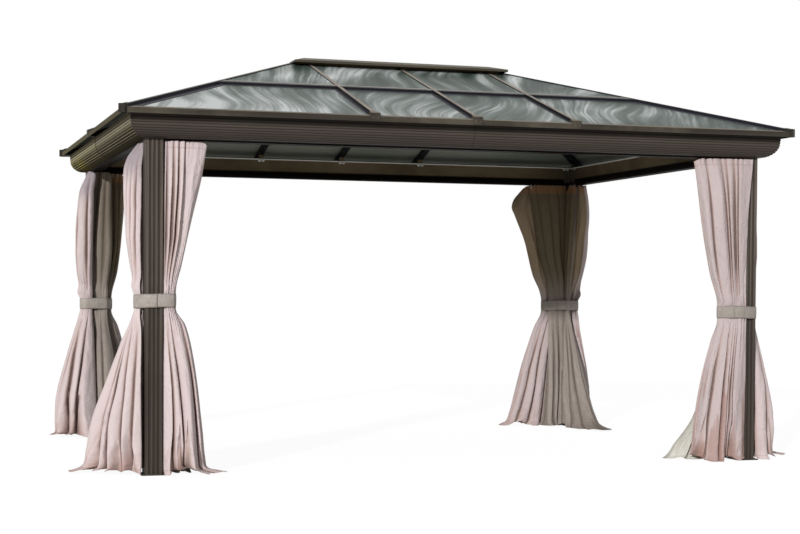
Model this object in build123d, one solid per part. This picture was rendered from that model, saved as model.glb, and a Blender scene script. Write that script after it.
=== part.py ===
from build123d import *
import os
from math import atan2, cos, hypot, pi, sin

os.makedirs("parts", exist_ok=True)

# A four-post garden gazebo with a low hipped roof. Millimetres: X along the long side, Y towards
# the rear, Z up from the ground, with the origin on the ground under the middle of the roof.

# Frame
span_x = 4226.0  # over the outer faces of the posts, long side
span_y = 3080.0  # over the outer faces of the posts, short side
clear_height = 2070.0  # ground to the underside of the beams
beam_height = 158.0
post_face = 110.0  # width of each leg of the angle-shaped post
post_leg = 40.0  # depth of each leg, also the depth of the beams
post_reed_pitch = 27.5  # reeding down the outer faces of the posts
post_reed_depth = 3.5
plate_size = 156.0  # square foot plate
plate_lip = 22.0  # foot plate past the post's outer faces
plate_depth = 8.0
rail_width = 44.0  # double curtain track inside the beams
rail_height = 22.0
rail_slot = 8.0
ledge_width = 10.0  # bright flange along the inner top edge of the beams
ledge_height = 7.0
strip_gap = 2.0  # between lengths that meet at the inner corners

# Cornice round the frame
cornice_lift = 10.0  # its underside over the underside of the beams
cornice_height = 142.0
cornice_reach = 115.0  # top edge past the posts
cornice_foot = 12.0  # where the cove meets the underside
cornice_upright = 44.0  # upright band over the cove
cornice_skin = 5.0
cornice_reed_pitch = 18.0
cornice_reed_depth = 2.6
joint_gap = 3.0  # between the two lengths of each side

# Roof surface, taken at the top of the lower panels
eave_reach = 170.0  # drip edge past the posts
eave_lift = 23.0  # surface at the drip edge over the top of the cornice
ridge_rise = 547.0
ridge_half = 799.0  # where the hips meet the ridge
rafter_spacing = 688.0
purlin_share = 0.51  # of the way up the slopes
panel_depth = 6.0
panel_gap = 2.0  # edge of a panel to the bar beside it
tier_step = 14.0  # upper panels over the lower ones

# Glazing bars
bar_width = 40.0
bar_depth = 50.0  # below the surface of the lower panels
crest_width = 26.0
crest_height = 20.0
strip_width = 56.0  # cover strip over the lower panels
strip_depth = 4.0
hip_width = 48.0
hip_crest_width = 32.0
hip_strip_width = 64.0
bite = 1.0  # how far stacked parts of one bar run into each other
bracket_inset = 4.0  # bracket in from the faces of the beam
corner_bracket = 30.0

# Purlins, measured up and down the slope from their line
purlin_back = 20.0  # half the width of the body
purlin_front = 10.0  # front of the upright that carries the upper panels
purlin_wall = 6.0  # front wall of that upright
purlin_seat = 8.0  # upright to the lower edge of the upper panels
purlin_top = 18.0  # top of the cover over the surface
purlin_cover = 60.0
purlin_brow = 22.0  # front edge of the cover
seal_gap = 0.3  # over the upper panels

# Drip trim and the caps on the feet of the bars
trim_drop = 30.0  # bottom of the trim under the roof surface
trim_wall = 3.0
trim_lip = 34.0
cap_width = 60.0
cap_length = 42.0
cap_wall = 4.0
corner_cap_width = 46.0
corner_cap_length = 50.0
corner_cap_nose = 6.0

# Ridge
ridge_width = 50.0
ridge_drop = 10.0  # ridge beam below the bars
ridge_cap_half_width = 150.0
ridge_cap_overhang = 21.0  # past the ends of the ridge
ridge_cap_hip_run = 103.0  # its ends slope up to a level crown
ridge_cap_rise = 54.0  # crown over the line where the slopes would meet
ridge_cap_fall = 36.0
ridge_cap_lip = 16.0
ridge_cap_wall = 3.0

# Tie bands
tie_middle = 1045.0
tie_height = 76.0
tie_wall = 3.0
tie_margin = 8.0  # cloth keeps its waist this far past the band
tie_reach = 191.0  # inside of the band, in from the post's outer faces
tie_proud = 24.3  # inside of the band, out from the post's outer faces

# Curtains and nets at the front left post. Each outline is a curve seen from above, by its start,
# pull and end, measured in from the post's outer corner along the beam and then across it.
pleats = 5
cloth_clearance = 0.3
curtain_start = 118.0  # beside the post
waist_across = 30.0
waist_fold = 4.0
net_across = 102.0
net_waist_end = 187.0
long_hem = ((125.0, -75.0), (200.0, -300.0), (540.0, 50.0))
long_break = ((122.0, -62.0), (200.0, -255.0), (500.0, 40.0))
long_knee = ((118.0, 0.0), (180.0, -60.0), (330.0, 30.0))
long_chest = ((118.0, 30.0), (200.0, 20.0), (290.0, 30.0))
long_shoulder = ((118.0, 32.0), (240.0, 20.0), (380.0, 34.0))
long_heading = ((118.0, 34.0), (250.0, 34.0), (390.0, 34.0))
short_hem = ((-60.0, -130.0), (20.0, -540.0), (400.0, -90.0))
short_break = ((-40.0, -125.0), (30.0, -480.0), (380.0, -80.0))
short_knee = ((80.0, -80.0), (150.0, -150.0), (300.0, -30.0))
short_hip = ((118.0, -50.0), (170.0, -50.0), (220.0, -50.0))
short_chest = ((118.0, 16.0), (200.0, 16.0), (290.0, 20.0))
short_shoulder = ((150.0, 0.0), (230.0, -50.0), (370.0, 20.0))
short_heading = ((118.0, 34.0), (250.0, 34.0), (380.0, 34.0))
net_hem = ((190.0, 98.0), (360.0, 140.0), (560.0, 330.0))
net_break = ((186.0, 98.0), (340.0, 136.0), (520.0, 290.0))
net_knee = ((150.0, 100.0), (250.0, 108.0), (360.0, 170.0))
net_chest = ((150.0, 100.0), (220.0, 110.0), (300.0, 104.0))
net_heading = ((150.0, 82.0), (260.0, 82.0), (400.0, 82.0))
break_share = 0.11  # heights below the band, of the way up to it
knee_share = 0.55
hip_share = 0.88
chest_share = 0.4  # heights over the band, of the way up to the rail
shoulder_share = 0.8

half_x = span_x / 2
half_y = span_y / 2
eave_x = half_x + eave_reach
eave_y = half_y + eave_reach
beam_top = clear_height + beam_height
cornice_bottom = clear_height + cornice_lift
cornice_top = cornice_bottom + cornice_height
eave_height = cornice_top + eave_lift
apex_height = eave_height + ridge_rise
trim_bottom = eave_height - trim_drop
ridge_cap_top = apex_height + ridge_cap_rise
ridge_cap_half_length = ridge_half + ridge_cap_overhang
tall = ridge_cap_top * 2
cloth_top = clear_height - cloth_clearance
tie_low = tie_middle - tie_height / 2
tie_high = tie_middle + tie_height / 2

# Each side as (turn about Z, half length and distance of the eave, the same of the ridge,
# half length and distance of the posts' outer faces), seen as if it were the front.
sides = {
    "front": (0, eave_x, eave_y, ridge_half, 0.0, half_x, half_y),
    "right": (90, eave_y, eave_x, 0.0, ridge_half, half_y, half_x),
    "rear": (180, eave_x, eave_y, ridge_half, 0.0, half_x, half_y),
    "left": (270, eave_y, eave_x, 0.0, ridge_half, half_y, half_x),
}
rafter_places = {
    "front": (-rafter_spacing, 0.0, rafter_spacing),
    "rear": (-rafter_spacing, 0.0, rafter_spacing),
    "left": (0.0,),
    "right": (0.0,),
}


def write_node(name, *shapes):
    solids = [solid for shape in shapes for solid in shape.solids()]
    export_step(solids[0] if len(solids) == 1 else Compound(solids), f"parts/{name}.step")


def turned(side, shape):
    return Rot(0, 0, sides[side][0]) * shape


def plan_prism(points, low=0.0, high=tall):
    outline = make_face(Polyline(*[(x, y, low) for x, y in points], close=True))
    return extrude(outline, amount=high - low, dir=(0, 0, 1))


def rectangle(x0, x1, y0, y1):
    return [(x0, y0), (x1, y0), (x1, y1), (x0, y1)]


def box(x0, x1, y0, y1, z0, z1):
    return plan_prism(rectangle(x0, x1, y0, y1), z0, z1)


def length_of_section(points, x0, x1):
    outline = make_face(Polyline(*[(x0, y, z) for y, z in points], close=True))
    return extrude(outline, amount=x1 - x0, dir=(1, 0, 0))


def reeded(start, pitch, depth, count, place):
    """Points of a row of flat reeds with sloped grooves between them, sent through place()."""
    points = []
    for reed in range(count):
        near = start + reed * pitch
        points += [place(near, 0.0), place(near + pitch * 0.5, 0.0)]
        if reed < count - 1:
            points += [place(near + pitch * 0.64, depth), place(near + pitch * 0.86, depth)]
    return points


# Roof layers -------------------------------------------------------------------------------


def slope_layer(side, low, high):
    """A side's roof slope between two heights over the surface of the lower panels."""
    _, eave_half, eave_out, _, top_out, _, _ = sides[side]
    section = [
        (-eave_out, eave_height + low),
        (-top_out, apex_height + low),
        (-top_out, apex_height + high),
        (-eave_out, eave_height + high),
    ]
    return length_of_section(section, -eave_half, eave_half)


def slope_plan(side, inset=0.0, outer=None, inner=None):
    """A side's slope seen from above, in from its hips by inset, between two distances out."""
    _, eave_half, eave_out, top_half, top_out, _, _ = sides[side]
    run = eave_out - top_out
    spread = eave_half - top_half
    side_step = inset * hypot(run, spread) / run
    outer = eave_out if outer is None else outer
    inner = top_out if inner is None else inner
    closing = top_out + run * (side_step - top_half) / spread
    inner = max(inner, closing + panel_gap / 4)

    def half_at(out):
        return top_half + spread * (out - top_out) / run - side_step

    return [
        (-half_at(outer), -outer),
        (half_at(outer), -outer),
        (half_at(inner), -inner),
        (-half_at(inner), -inner),
    ]


def purlin_out(side):
    _, _, eave_out, _, top_out, _, _ = sides[side]
    return eave_out - purlin_share * (eave_out - top_out)


def roof_piece(side, low, high, plan):
    return slope_layer(side, low, high) & plan_prism(plan)


# Frame -------------------------------------------------------------------------------------


def post():
    """Front left post: an angle with reeded outer faces."""
    reeds = round(post_face / post_reed_pitch)
    margin = (post_face - (reeds - 0.5) * post_reed_pitch) / 2
    front = reeded(margin, post_reed_pitch, post_reed_depth, reeds, lambda s, d: (s, d))
    left = reeded(margin, post_reed_pitch, post_reed_depth, reeds, lambda s, d: (d, s))
    outline = [(0, 0)] + front + [(post_face, 0), (post_face, post_leg), (post_leg, post_leg)]
    outline += [(post_leg, post_face), (0, post_face)] + left[::-1]
    placed = [(u - half_x, v - half_y) for u, v in outline]
    return plan_prism(placed, plate_depth, beam_top)


def foot_plate():
    near_x = -half_x - plate_lip
    near_y = -half_y - plate_lip
    return box(near_x, near_x + plate_size, near_y, near_y + plate_size, 0, plate_depth)


def four_corners(shape):
    """Front left, front right, rear left and rear right copies of a front left piece."""
    right = mirror(shape, about=Plane.YZ)
    return {
        "front_left": shape,
        "front_right": right,
        "rear_left": mirror(shape, about=Plane.XZ),
        "rear_right": mirror(right, about=Plane.XZ),
    }


def beam(side):
    _, _, _, _, _, post_half, post_out = sides[side]
    ends = post_half - post_face
    wall = box(-ends, ends, -post_out, -post_out + post_leg, clear_height, beam_top)
    return turned(side, wall)


def inner_strip(side, section):
    """A length along the inside of the beams; those of the short sides stop at the long ones."""
    _, _, _, _, _, post_half, post_out = sides[side]
    reach = max(y for y, _ in section)
    short = 0.0 if side in ("front", "rear") else reach + strip_gap
    ends = post_half - post_leg - short
    placed = [(y + post_leg - post_out, z) for y, z in section]
    return turned(side, length_of_section(placed, -ends, ends))


def curtain_rail(side):
    top = clear_height + rail_height
    slot_top = clear_height + rail_slot
    outer = rail_width * 0.25
    inner = rail_width * 0.75
    section = [
        (0, clear_height),
        (outer - rail_slot / 2, clear_height),
        (outer - rail_slot / 2, slot_top),
        (outer + rail_slot / 2, slot_top),
        (outer + rail_slot / 2, clear_height),
        (inner - rail_slot / 2, clear_height),
        (inner - rail_slot / 2, slot_top),
        (inner + rail_slot / 2, slot_top),
        (inner + rail_slot / 2, clear_height),
        (rail_width, clear_height),
        (rail_width, top),
        (0, top),
    ]
    return inner_strip(side, section)


def ledge(side):
    base = beam_top - ledge_height
    return inner_strip(side, [(0, base), (ledge_width, base), (ledge_width, beam_top), (0, beam_top)])


# Cornice -----------------------------------------------------------------------------------


def cornice_section(post_out):
    """An open channel with a reeded face: an upright band over a cove."""
    cove_top = cornice_top - cornice_upright
    radius = cove_top - cornice_bottom
    cove_out = cornice_foot + radius
    length = cornice_upright + radius * pi / 2

    def face_point(along, depth):
        if along <= cornice_upright:
            shift = (cornice_reach - cove_out) * (1 - along / cornice_upright)
            return (cove_out + shift - depth, cornice_top - along)
        turn = (along - cornice_upright) / radius
        return (
            cornice_foot + (radius - depth) * cos(turn),
            cove_top - (radius - depth) * sin(turn),
        )

    reeds = int(length / cornice_reed_pitch)
    face = reeded(cornice_reed_pitch * 0.2, cornice_reed_pitch, cornice_reed_depth, reeds, face_point)
    face = [face_point(0, 0)] + face + [face_point(length, 0), (0, cornice_bottom)]
    steps = 6  # chords of the lining
    lining = [face_point(0, cornice_skin)]
    for step in range(steps + 1):
        along = cornice_upright + step * (length - cornice_upright) / steps
        lining.append(face_point(along, cornice_skin))
    lining.append((cornice_skin, cornice_bottom + cornice_skin))
    lining.append((cornice_skin, cornice_top))
    outline = face + [(0, cornice_top)] + lining[::-1]
    return [(-post_out - out, z) for out, z in outline]


def cornice(side):
    """Two mitred lengths that meet at a joint in the middle of the side."""
    _, _, _, _, _, post_half, post_out = sides[side]
    reach = cornice_reach + cornice_skin
    length = length_of_section(cornice_section(post_out), -post_half - reach, post_half + reach)
    halves = []
    for end in (-1, 1):
        plan = [
            (end * joint_gap / 2, -post_out),
            (end * post_half, -post_out),
            (end * (post_half + reach), -post_out - reach),
            (end * joint_gap / 2, -post_out - reach),
        ]
        halves.append(turned(side, length & plan_prism(plan)))
    return halves


# Glazing bars ------------------------------------------------------------------------------


def bar_in_slope(side, narrow, wide, strip, stop):
    """Stepped bar in one slope: body under the panels, crest between them, cover strip."""
    _, _, eave_out, _, _, _, _ = sides[side]
    line = purlin_out(side)
    shoulder = line + purlin_front
    under = -panel_depth
    body = roof_piece(side, -bar_depth, under, wide(eave_out - trim_wall, stop))
    crest = roof_piece(side, under - bite, crest_height, narrow(eave_out - trim_wall, stop))
    raised = roof_piece(side, under - bite, tier_step - panel_depth, wide(shoulder, stop))
    cover = roof_piece(side, 0, strip_depth, strip(eave_out - trim_wall, shoulder + panel_gap))
    return body + crest + raised + cover


def rafter_in_front(side, place):
    """One common rafter, seen as if its side were the front, from drip edge to ridge."""
    _, _, _, _, top_out, _, _ = sides[side]
    stop = ridge_width / 2 if top_out == 0.0 else top_out

    def band(width):
        return lambda outer, inner: rectangle(place - width / 2, place + width / 2, -outer, -inner)

    return bar_in_slope(side, band(crest_width), band(bar_width), band(strip_width), stop)


def cornice_clear():
    """All that lies outside the posts and under the top of the cornice."""
    outside = box(-eave_x, eave_x, -eave_y, eave_y, 0, cornice_top)
    return outside - box(-half_x, half_x, -half_y, half_y, 0, cornice_top)


def hip_rafter():
    """Front left hip: the two slopes' halves joined along the hip line."""
    run_x = eave_x - ridge_half
    length = hypot(run_x, eave_y)
    along = (run_x / length, eave_y / length)
    across = (-along[1], along[0])

    def on_plan(distance, offset):
        x = -eave_x + along[0] * distance + across[0] * offset
        y = -eave_y + along[1] * distance + across[1] * offset
        return (x, y)

    def strip_prism(width):
        half = width / 2
        past = length + hip_width
        return plan_prism([on_plan(0, -half), on_plan(past, -half), on_plan(past, half), on_plan(0, half)])

    whole = None
    for side in ("front", "left"):
        foot = sides[side][2] - trim_wall
        top = sides[side][4]
        shoulder = purlin_out(side) + purlin_front
        layers = (
            (hip_width, foot, top, -bar_depth, -panel_depth),
            (hip_crest_width, foot, top, -panel_depth - bite, crest_height),
            (hip_width, shoulder, top, -panel_depth - bite, tier_step - panel_depth),
            (hip_strip_width, foot, shoulder + panel_gap, 0.0, strip_depth),
        )
        for width, outer, inner, low, high in layers:
            layer = turned(side, roof_piece(side, low, high, slope_plan(side, 0.0, outer, inner)))
            piece = layer & strip_prism(width)
            whole = piece if whole is None else whole + piece
    front_half = box(-eave_x, 0, -eave_y, 0, 0, tall)
    return (whole & front_half) - cornice_clear() - ridge_beam_body() - ridge_cap()


def ridge_beam_body():
    half = ridge_width / 2
    low = apex_height - bar_depth - ridge_drop
    return box(-ridge_half, ridge_half, -half, half, low, apex_height + crest_height)


def ridge_beam():
    """Beam along the ridge, with a narrower top rail that carries the cap."""
    half = crest_width / 2
    ends = ridge_cap_half_length - ridge_cap_hip_run
    rail = box(-ends, ends, -half, half, apex_height + crest_height - bite, ridge_cap_top)
    return ridge_beam_body() + (rail & ridge_cap_hollow())


def ridge_cap_form(inset, drop, low):
    """Low hipped block with upright edges, in from the cap's outside by inset and drop."""
    half_w = ridge_cap_half_width - inset
    half_l = ridge_cap_half_length - inset
    edge = ridge_cap_top - ridge_cap_fall
    run = ridge_cap_hip_run
    crown = ridge_cap_top - drop
    across = [(-half_w, low), (half_w, low), (half_w, edge - drop), (0, crown), (-half_w, edge - drop)]
    along = [(-half_l, low), (half_l, low), (half_l, edge - drop), (half_l - run, crown)]
    along += [(run - half_l, crown), (-half_l, edge - drop)]
    lengthwise = length_of_section(across, -half_l, half_l)
    crosswise = Rot(0, 0, 90) * length_of_section(along, -half_w, half_w)
    return lengthwise & crosswise


def ridge_cap_hollow():
    return ridge_cap_form(ridge_cap_wall, ridge_cap_wall, 0.0)


def ridge_cap():
    """Low hipped cap of bent sheet with a turned-down lip."""
    low = ridge_cap_top - ridge_cap_fall - ridge_cap_lip
    return ridge_cap_form(0, 0, low) - ridge_cap_hollow()


def purlins(side, bars):
    """Lengths of purlin between a side's bars."""
    line = purlin_out(side)
    front = line + purlin_front
    back = line - purlin_back
    brow = line + purlin_brow
    layers = (
        (line + purlin_back, back, -bar_depth, -panel_depth),
        (front, back, -panel_depth - bite, tier_step - panel_depth),
        (front, front - purlin_wall, tier_step - panel_depth - bite, purlin_top),
        (brow, brow - purlin_cover, tier_step + seal_gap, purlin_top),
        (brow, brow - cap_wall, strip_depth, purlin_top),
    )
    whole = None
    for outer, inner, low, high in layers:
        piece = roof_piece(side, low, high, slope_plan(side, 0.0, outer, inner))
        whole = piece if whole is None else whole + piece
    whole = turned(side, whole)
    for bar in bars:
        whole = whole - bar
    lengths = len(rafter_places[side]) + 1
    return sorted(whole.solids(), key=lambda solid: solid.volume)[-lengths:]


def panels(side, bar_places):
    """Two tiers of panels between a side's bars."""
    _, eave_half, eave_out, _, top_out, _, _ = sides[side]
    line = purlin_out(side)
    crest_side = crest_width / 2 + panel_gap
    hip_side = hip_crest_width / 2 + panel_gap
    top_stop = ridge_width / 2 + panel_gap if top_out == 0.0 else top_out
    tiers = (
        (-panel_depth, 0.0, eave_out - trim_wall - panel_gap, line + purlin_front + panel_gap),
        (tier_step - panel_depth, tier_step, line + purlin_front - purlin_seat, top_stop),
    )
    edges = [-eave_half] + list(bar_places) + [eave_half]
    sheets = []
    for low, high, outer, inner in tiers:
        for near, far in zip(edges, edges[1:]):
            bay = rectangle(near + crest_side, far - crest_side, -outer, -inner)
            sheet = roof_piece(side, low, high, slope_plan(side, hip_side, outer, inner))
            sheets.append(turned(side, sheet & plan_prism(bay)))
    return sheets


# Drip trim and caps ------------------------------------------------------------------------


def drip_trim(side, bars):
    """Edge channel round the drip edge: upright band with lips over and under the panels."""
    _, eave_half, eave_out, _, _, _, _ = sides[side]
    inner = eave_out - trim_lip
    lip = roof_piece(side, 0, strip_depth, slope_plan(side, 0.0, eave_out, inner))
    ledge_under = roof_piece(
        side, -panel_depth - strip_depth, -panel_depth, slope_plan(side, 0.0, eave_out, inner)
    )
    face = (-eave_out, -eave_out + trim_wall)
    band = box(-eave_half, eave_half, *face, trim_bottom, eave_height + strip_depth)
    band = band & plan_prism(slope_plan(side))
    whole = turned(side, lip + ledge_under + band)
    for bar in bars:
        whole = whole - bar
    return max(whole.solids(), key=lambda solid: solid.volume)


def rafter_cap(side, place):
    """Hood over a rafter's foot, with a front plate on the drip trim."""
    _, _, eave_out, _, _, _, _ = sides[side]
    half = cap_width / 2
    low = strip_depth
    high = crest_height + cap_wall
    back = eave_out - cap_length
    hood = roof_piece(side, crest_height, high, rectangle(place - half, place + half, -eave_out, -back))
    for cheek in (-1, 1):
        outer = place + cheek * half
        near, far = sorted((outer, outer - cheek * cap_wall))
        hood = hood + roof_piece(side, low, high, rectangle(near, far, -eave_out, -back))
    front = box(place - half, place + half, -eave_out - cap_wall, -eave_out, trim_bottom, eave_height + high)
    return turned(side, hood + front)


def corner_cap(neighbours):
    """Hood over the foot of the front left hip, round the corner of the drip trim."""
    turn = atan2(eave_y, eave_x - ridge_half) * 180 / pi
    at_corner = Pos(-eave_x, -eave_y, 0) * Rot(0, 0, turn)
    half = corner_cap_width / 2
    high = crest_height + cap_wall
    top = eave_height + high
    block = box(-corner_cap_nose, corner_cap_length, -half, half, trim_bottom, tall)
    hollow = box(cap_wall - corner_cap_nose, tall, cap_wall - half, half - cap_wall, 0, tall)
    walls = at_corner * (block - hollow)
    block = at_corner * block
    reach = corner_cap_width
    beyond = plan_prism(rectangle(-eave_x - reach, 0, -eave_y - reach, 0), trim_bottom, top)
    beyond = beyond - box(-eave_x, eave_x, -eave_y, eave_y, 0, tall)
    lid = beyond - box(-tall, tall, -tall, tall, 0, top - cap_wall)
    cap = (block & slope_pair(crest_height, high)) + (block & lid)
    cap = cap + (walls & (slope_pair(strip_depth, high) + beyond))
    for neighbour in neighbours:
        cap = cap - neighbour
    return max(cap.solids(), key=lambda solid: solid.volume)


def slope_pair(low, high):
    """The front and left slopes' layers near the front left hip."""
    front = roof_piece("front", low, high, slope_plan("front"))
    left = turned("left", roof_piece("left", low, high, slope_plan("left")))
    return front + left


def rafter_bracket(side, place):
    """Block between the top of the beam and the underside of a rafter."""
    _, _, _, _, _, _, post_out = sides[side]
    outer = post_out - bracket_inset
    inner = post_out - post_leg + bracket_inset
    plan = rectangle(place - bar_width / 2, place + bar_width / 2, -outer, -inner)
    block = roof_piece(side, -eave_lift - bar_depth * 2, -bar_depth, plan)
    return turned(side, block - box(-tall, tall, -tall, tall, 0, beam_top))


def hip_bracket():
    near_x = -half_x + bracket_inset
    near_y = -half_y + bracket_inset
    far = corner_bracket
    column = box(near_x, near_x + far, near_y, near_y + far, beam_top, tall)
    return column & slope_pair(-eave_lift - bar_depth * 2, -bar_depth)


# Curtains ----------------------------------------------------------------------------------


def pleated_outline(curve, half_depth, fold, height):
    """A gathered curtain cut across: zigzag folds on both sides of a curved path."""
    count = pleats * 2
    middle = []
    for step in range(count + 1):
        t = step / count
        weights = ((1 - t) ** 2, 2 * t * (1 - t), t**2)
        middle.append([sum(w * point[axis] for w, point in zip(weights, curve)) for axis in (0, 1)])
    near_row = []
    far_row = []
    for step, (u, v) in enumerate(middle):
        before = middle[max(step - 1, 0)]
        after = middle[min(step + 1, count)]
        size = hypot(after[0] - before[0], after[1] - before[1])
        normal = (-(after[1] - before[1]) / size, (after[0] - before[0]) / size)
        wave = fold if step % 2 else -fold
        near_row.append((u + normal[0] * (wave - half_depth), v + normal[1] * (wave - half_depth)))
        far_row.append((u + normal[0] * (wave + half_depth), v + normal[1] * (wave + half_depth)))
    corners = [(u - half_x, v - half_y, height) for u, v in near_row + far_row[::-1]]
    return make_face(Polyline(*corners, close=True))


def hanging(levels, swapped=False):
    """A curtain or net at the front left post, from its outlines at several heights."""
    outlines = []
    for height, curve, half_depth, fold in levels:
        outlines.append(pleated_outline(curve, half_depth, fold, height))
    cloth = loft(outlines, ruled=True)
    if not swapped:
        return cloth
    at_corner = Pos(half_x, half_y, 0) * cloth
    return Pos(-half_x, -half_y, 0) * mirror(at_corner, about=Plane((0, 0, 0), (1, 1, 0), (1, -1, 0)))


def below_band(share):
    return (tie_low - tie_margin) * share


def above_band(share):
    low = tie_high + tie_margin
    return low + (cloth_top - low) * share


def waist(height):
    end = tie_reach - cloth_clearance
    middle = (curtain_start + end) / 2
    curve = ((curtain_start, waist_across), (middle, waist_across), (end, waist_across))
    return (height, curve, waist_across + tie_proud - cloth_clearance - waist_fold, waist_fold)


def long_side_curtain():
    return hanging(
        (
            (0.0, long_hem, 45.0, 9.0),
            (below_band(break_share), long_break, 40.0, 9.0),
            (below_band(knee_share), long_knee, 34.0, 7.0),
            waist(below_band(1.0)),
            waist(above_band(0.0)),
            (above_band(chest_share), long_chest, 40.0, 8.0),
            (above_band(shoulder_share), long_shoulder, 34.0, 9.0),
            (cloth_top, long_heading, 24.0, 6.0),
        )
    )


def short_side_curtain():
    return hanging(
        (
            (0.0, short_hem, 48.0, 9.0),
            (below_band(break_share), short_break, 44.0, 9.0),
            (below_band(knee_share), short_knee, 34.0, 7.0),
            (below_band(hip_share), short_hip, 38.0, 6.0),
            waist(below_band(1.0)),
            waist(above_band(0.0)),
            (above_band(chest_share), short_chest, 40.0, 8.0),
            (above_band(shoulder_share), short_shoulder, 36.0, 9.0),
            (cloth_top, short_heading, 24.0, 6.0),
        ),
        swapped=True,
    )


def net(swapped):
    start = curtain_start + waist_fold
    middle = (start + net_waist_end) / 2
    waist_curve = ((start, net_across), (middle, net_across), (net_waist_end, net_across))
    return hanging(
        (
            (0.0, net_hem, 26.0, 7.0),
            (below_band(break_share), net_break, 24.0, 7.0),
            (below_band(knee_share), net_knee, 16.0, 5.0),
            (below_band(1.0), waist_curve, 8.0, 2.0),
            (above_band(0.0), waist_curve, 8.0, 2.0),
            (above_band(chest_share), net_chest, 14.0, 5.0),
            (cloth_top, net_heading, 11.0, 4.0),
        ),
        swapped,
    )


def tie_band():
    """Belt round the post, both curtains and both nets."""

    def ring(grow, radius):
        size = tie_reach + tie_proud + 2 * grow
        middle = (tie_reach - tie_proud) / 2
        outline = RectangleRounded(size, size, radius) if radius else Rectangle(size, size)
        return extrude(Pos(middle - half_x, middle - half_y, tie_low) * outline, amount=tie_height)

    return ring(tie_wall, tie_wall) - ring(0, 0)


# Nodes -------------------------------------------------------------------------------------

for corner, shape in four_corners(post()).items():
    write_node(f"post_{corner}", shape)
write_node("foot_plates", *four_corners(foot_plate()).values())
write_node("beams", *[beam(side) for side in sides])
write_node("curtain_rails", *[curtain_rail(side) for side in sides])
write_node("beam_ledges", *[ledge(side) for side in sides])
for side in sides:
    write_node(f"cornice_{side}", *cornice(side))

hips = four_corners(hip_rafter())
for corner, shape in hips.items():
    write_node(f"hip_rafter_{corner}", shape)
write_node("ridge_beam", ridge_beam())
write_node("ridge_cap", ridge_cap())

all_purlins = []
all_caps = []
trims = {}
for side in sides:
    rafters = [turned(side, rafter_in_front(side, place)) for place in rafter_places[side]]
    rafters = [rafter - cornice_clear() for rafter in rafters]
    if side in ("left", "right"):
        for hip in hips.values():
            rafters = [rafter - hip for rafter in rafters]
        rafters = [max(rafter.solids(), key=lambda solid: solid.volume) for rafter in rafters]
    bars = rafters + list(hips.values())
    write_node(f"rafters_{side}", *rafters)
    all_purlins += purlins(side, bars)
    write_node(f"roof_panels_{side}", *panels(side, rafter_places[side]))
    trims[side] = drip_trim(side, bars)
    write_node(f"drip_trim_{side}", trims[side])
    all_caps += [rafter_cap(side, place) for place in rafter_places[side]]
write_node("purlins", *all_purlins)
corner_hood = corner_cap([trims["front"], trims["left"], hips["front_left"]])
write_node("bar_end_caps", *all_caps, *four_corners(corner_hood).values())

brackets = [rafter_bracket(side, place) for side in sides for place in rafter_places[side]]
write_node("rafter_brackets", *brackets, *four_corners(hip_bracket()).values())

cloths = {
    "curtain_long": long_side_curtain(),
    "curtain_short": short_side_curtain(),
    "tie_band": tie_band(),
}
for corner, shape in four_corners(cloths["curtain_long"]).items():
    write_node(f"curtain_{corner}", shape)
for corner, shape in four_corners(cloths["curtain_short"]).items():
    end, hand = corner.split("_")
    write_node(f"curtain_{hand}_{end}", shape)
long_nets = four_corners(net(False))
short_nets = four_corners(net(True))
for corner in long_nets:
    write_node(f"net_{corner}", long_nets[corner], short_nets[corner])
for corner, shape in four_corners(cloths["tie_band"]).items():
    write_node(f"tie_band_{corner}", shape)
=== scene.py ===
import bpy
import math
import numpy as np
from mathutils import Matrix, Vector


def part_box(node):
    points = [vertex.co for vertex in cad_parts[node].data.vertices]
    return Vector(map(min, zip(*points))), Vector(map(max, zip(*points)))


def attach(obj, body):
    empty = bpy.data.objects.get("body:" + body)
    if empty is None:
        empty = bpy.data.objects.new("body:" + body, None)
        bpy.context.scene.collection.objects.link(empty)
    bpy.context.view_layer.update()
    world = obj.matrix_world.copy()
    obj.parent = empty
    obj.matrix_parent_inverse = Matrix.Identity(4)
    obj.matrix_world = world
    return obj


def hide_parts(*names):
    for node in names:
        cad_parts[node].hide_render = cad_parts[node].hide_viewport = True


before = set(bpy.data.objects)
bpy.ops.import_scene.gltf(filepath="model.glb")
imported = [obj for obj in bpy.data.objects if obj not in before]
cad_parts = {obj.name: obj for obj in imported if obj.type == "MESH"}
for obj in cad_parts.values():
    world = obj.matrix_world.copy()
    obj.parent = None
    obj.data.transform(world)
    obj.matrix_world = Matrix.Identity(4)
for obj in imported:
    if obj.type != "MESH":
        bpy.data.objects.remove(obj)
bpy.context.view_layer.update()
print("frame loaded:", len(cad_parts), "nodes")

sceneNow = bpy.context.scene
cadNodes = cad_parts


# Places, all taken from the frame

roof = {
    "trimDrop": 0.030,  # bottom of the drip trim under the sheets' top at the edge
    "capRise": 0.054,  # ridge cap over the line where the slopes would meet
    "crest": 0.020,  # top of a bar over the slope
    "strip": 0.004,  # and of its cover strips
    "stripHalf": 0.028,
    "hipStripHalf": 0.032,
    "brow": 0.022,  # front of the purlin cover past its line
    "step": 0.014,  # upper sheets over the lower ones
}
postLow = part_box("post_front_left")[0]
trimLow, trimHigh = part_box("drip_trim_front")
rafterLow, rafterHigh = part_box("rafters_front")
corniceLow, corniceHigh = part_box("cornice_front")
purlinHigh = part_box("purlins")[1]
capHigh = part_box("ridge_cap")[1]
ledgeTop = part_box("beam_ledges")[1].z
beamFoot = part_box("beams")[0].z
halfX, halfY = -postLow.x, -postLow.y
eaveX, eaveY, eaveZ = trimHigh.x, -trimLow.y, trimLow.z + roof["trimDrop"]
apexZ = capHigh.z - roof["capRise"]
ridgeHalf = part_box("ridge_beam")[1].x
purlinX, purlinY = purlinHigh.x - roof["brow"], purlinHigh.y - roof["brow"]
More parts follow.
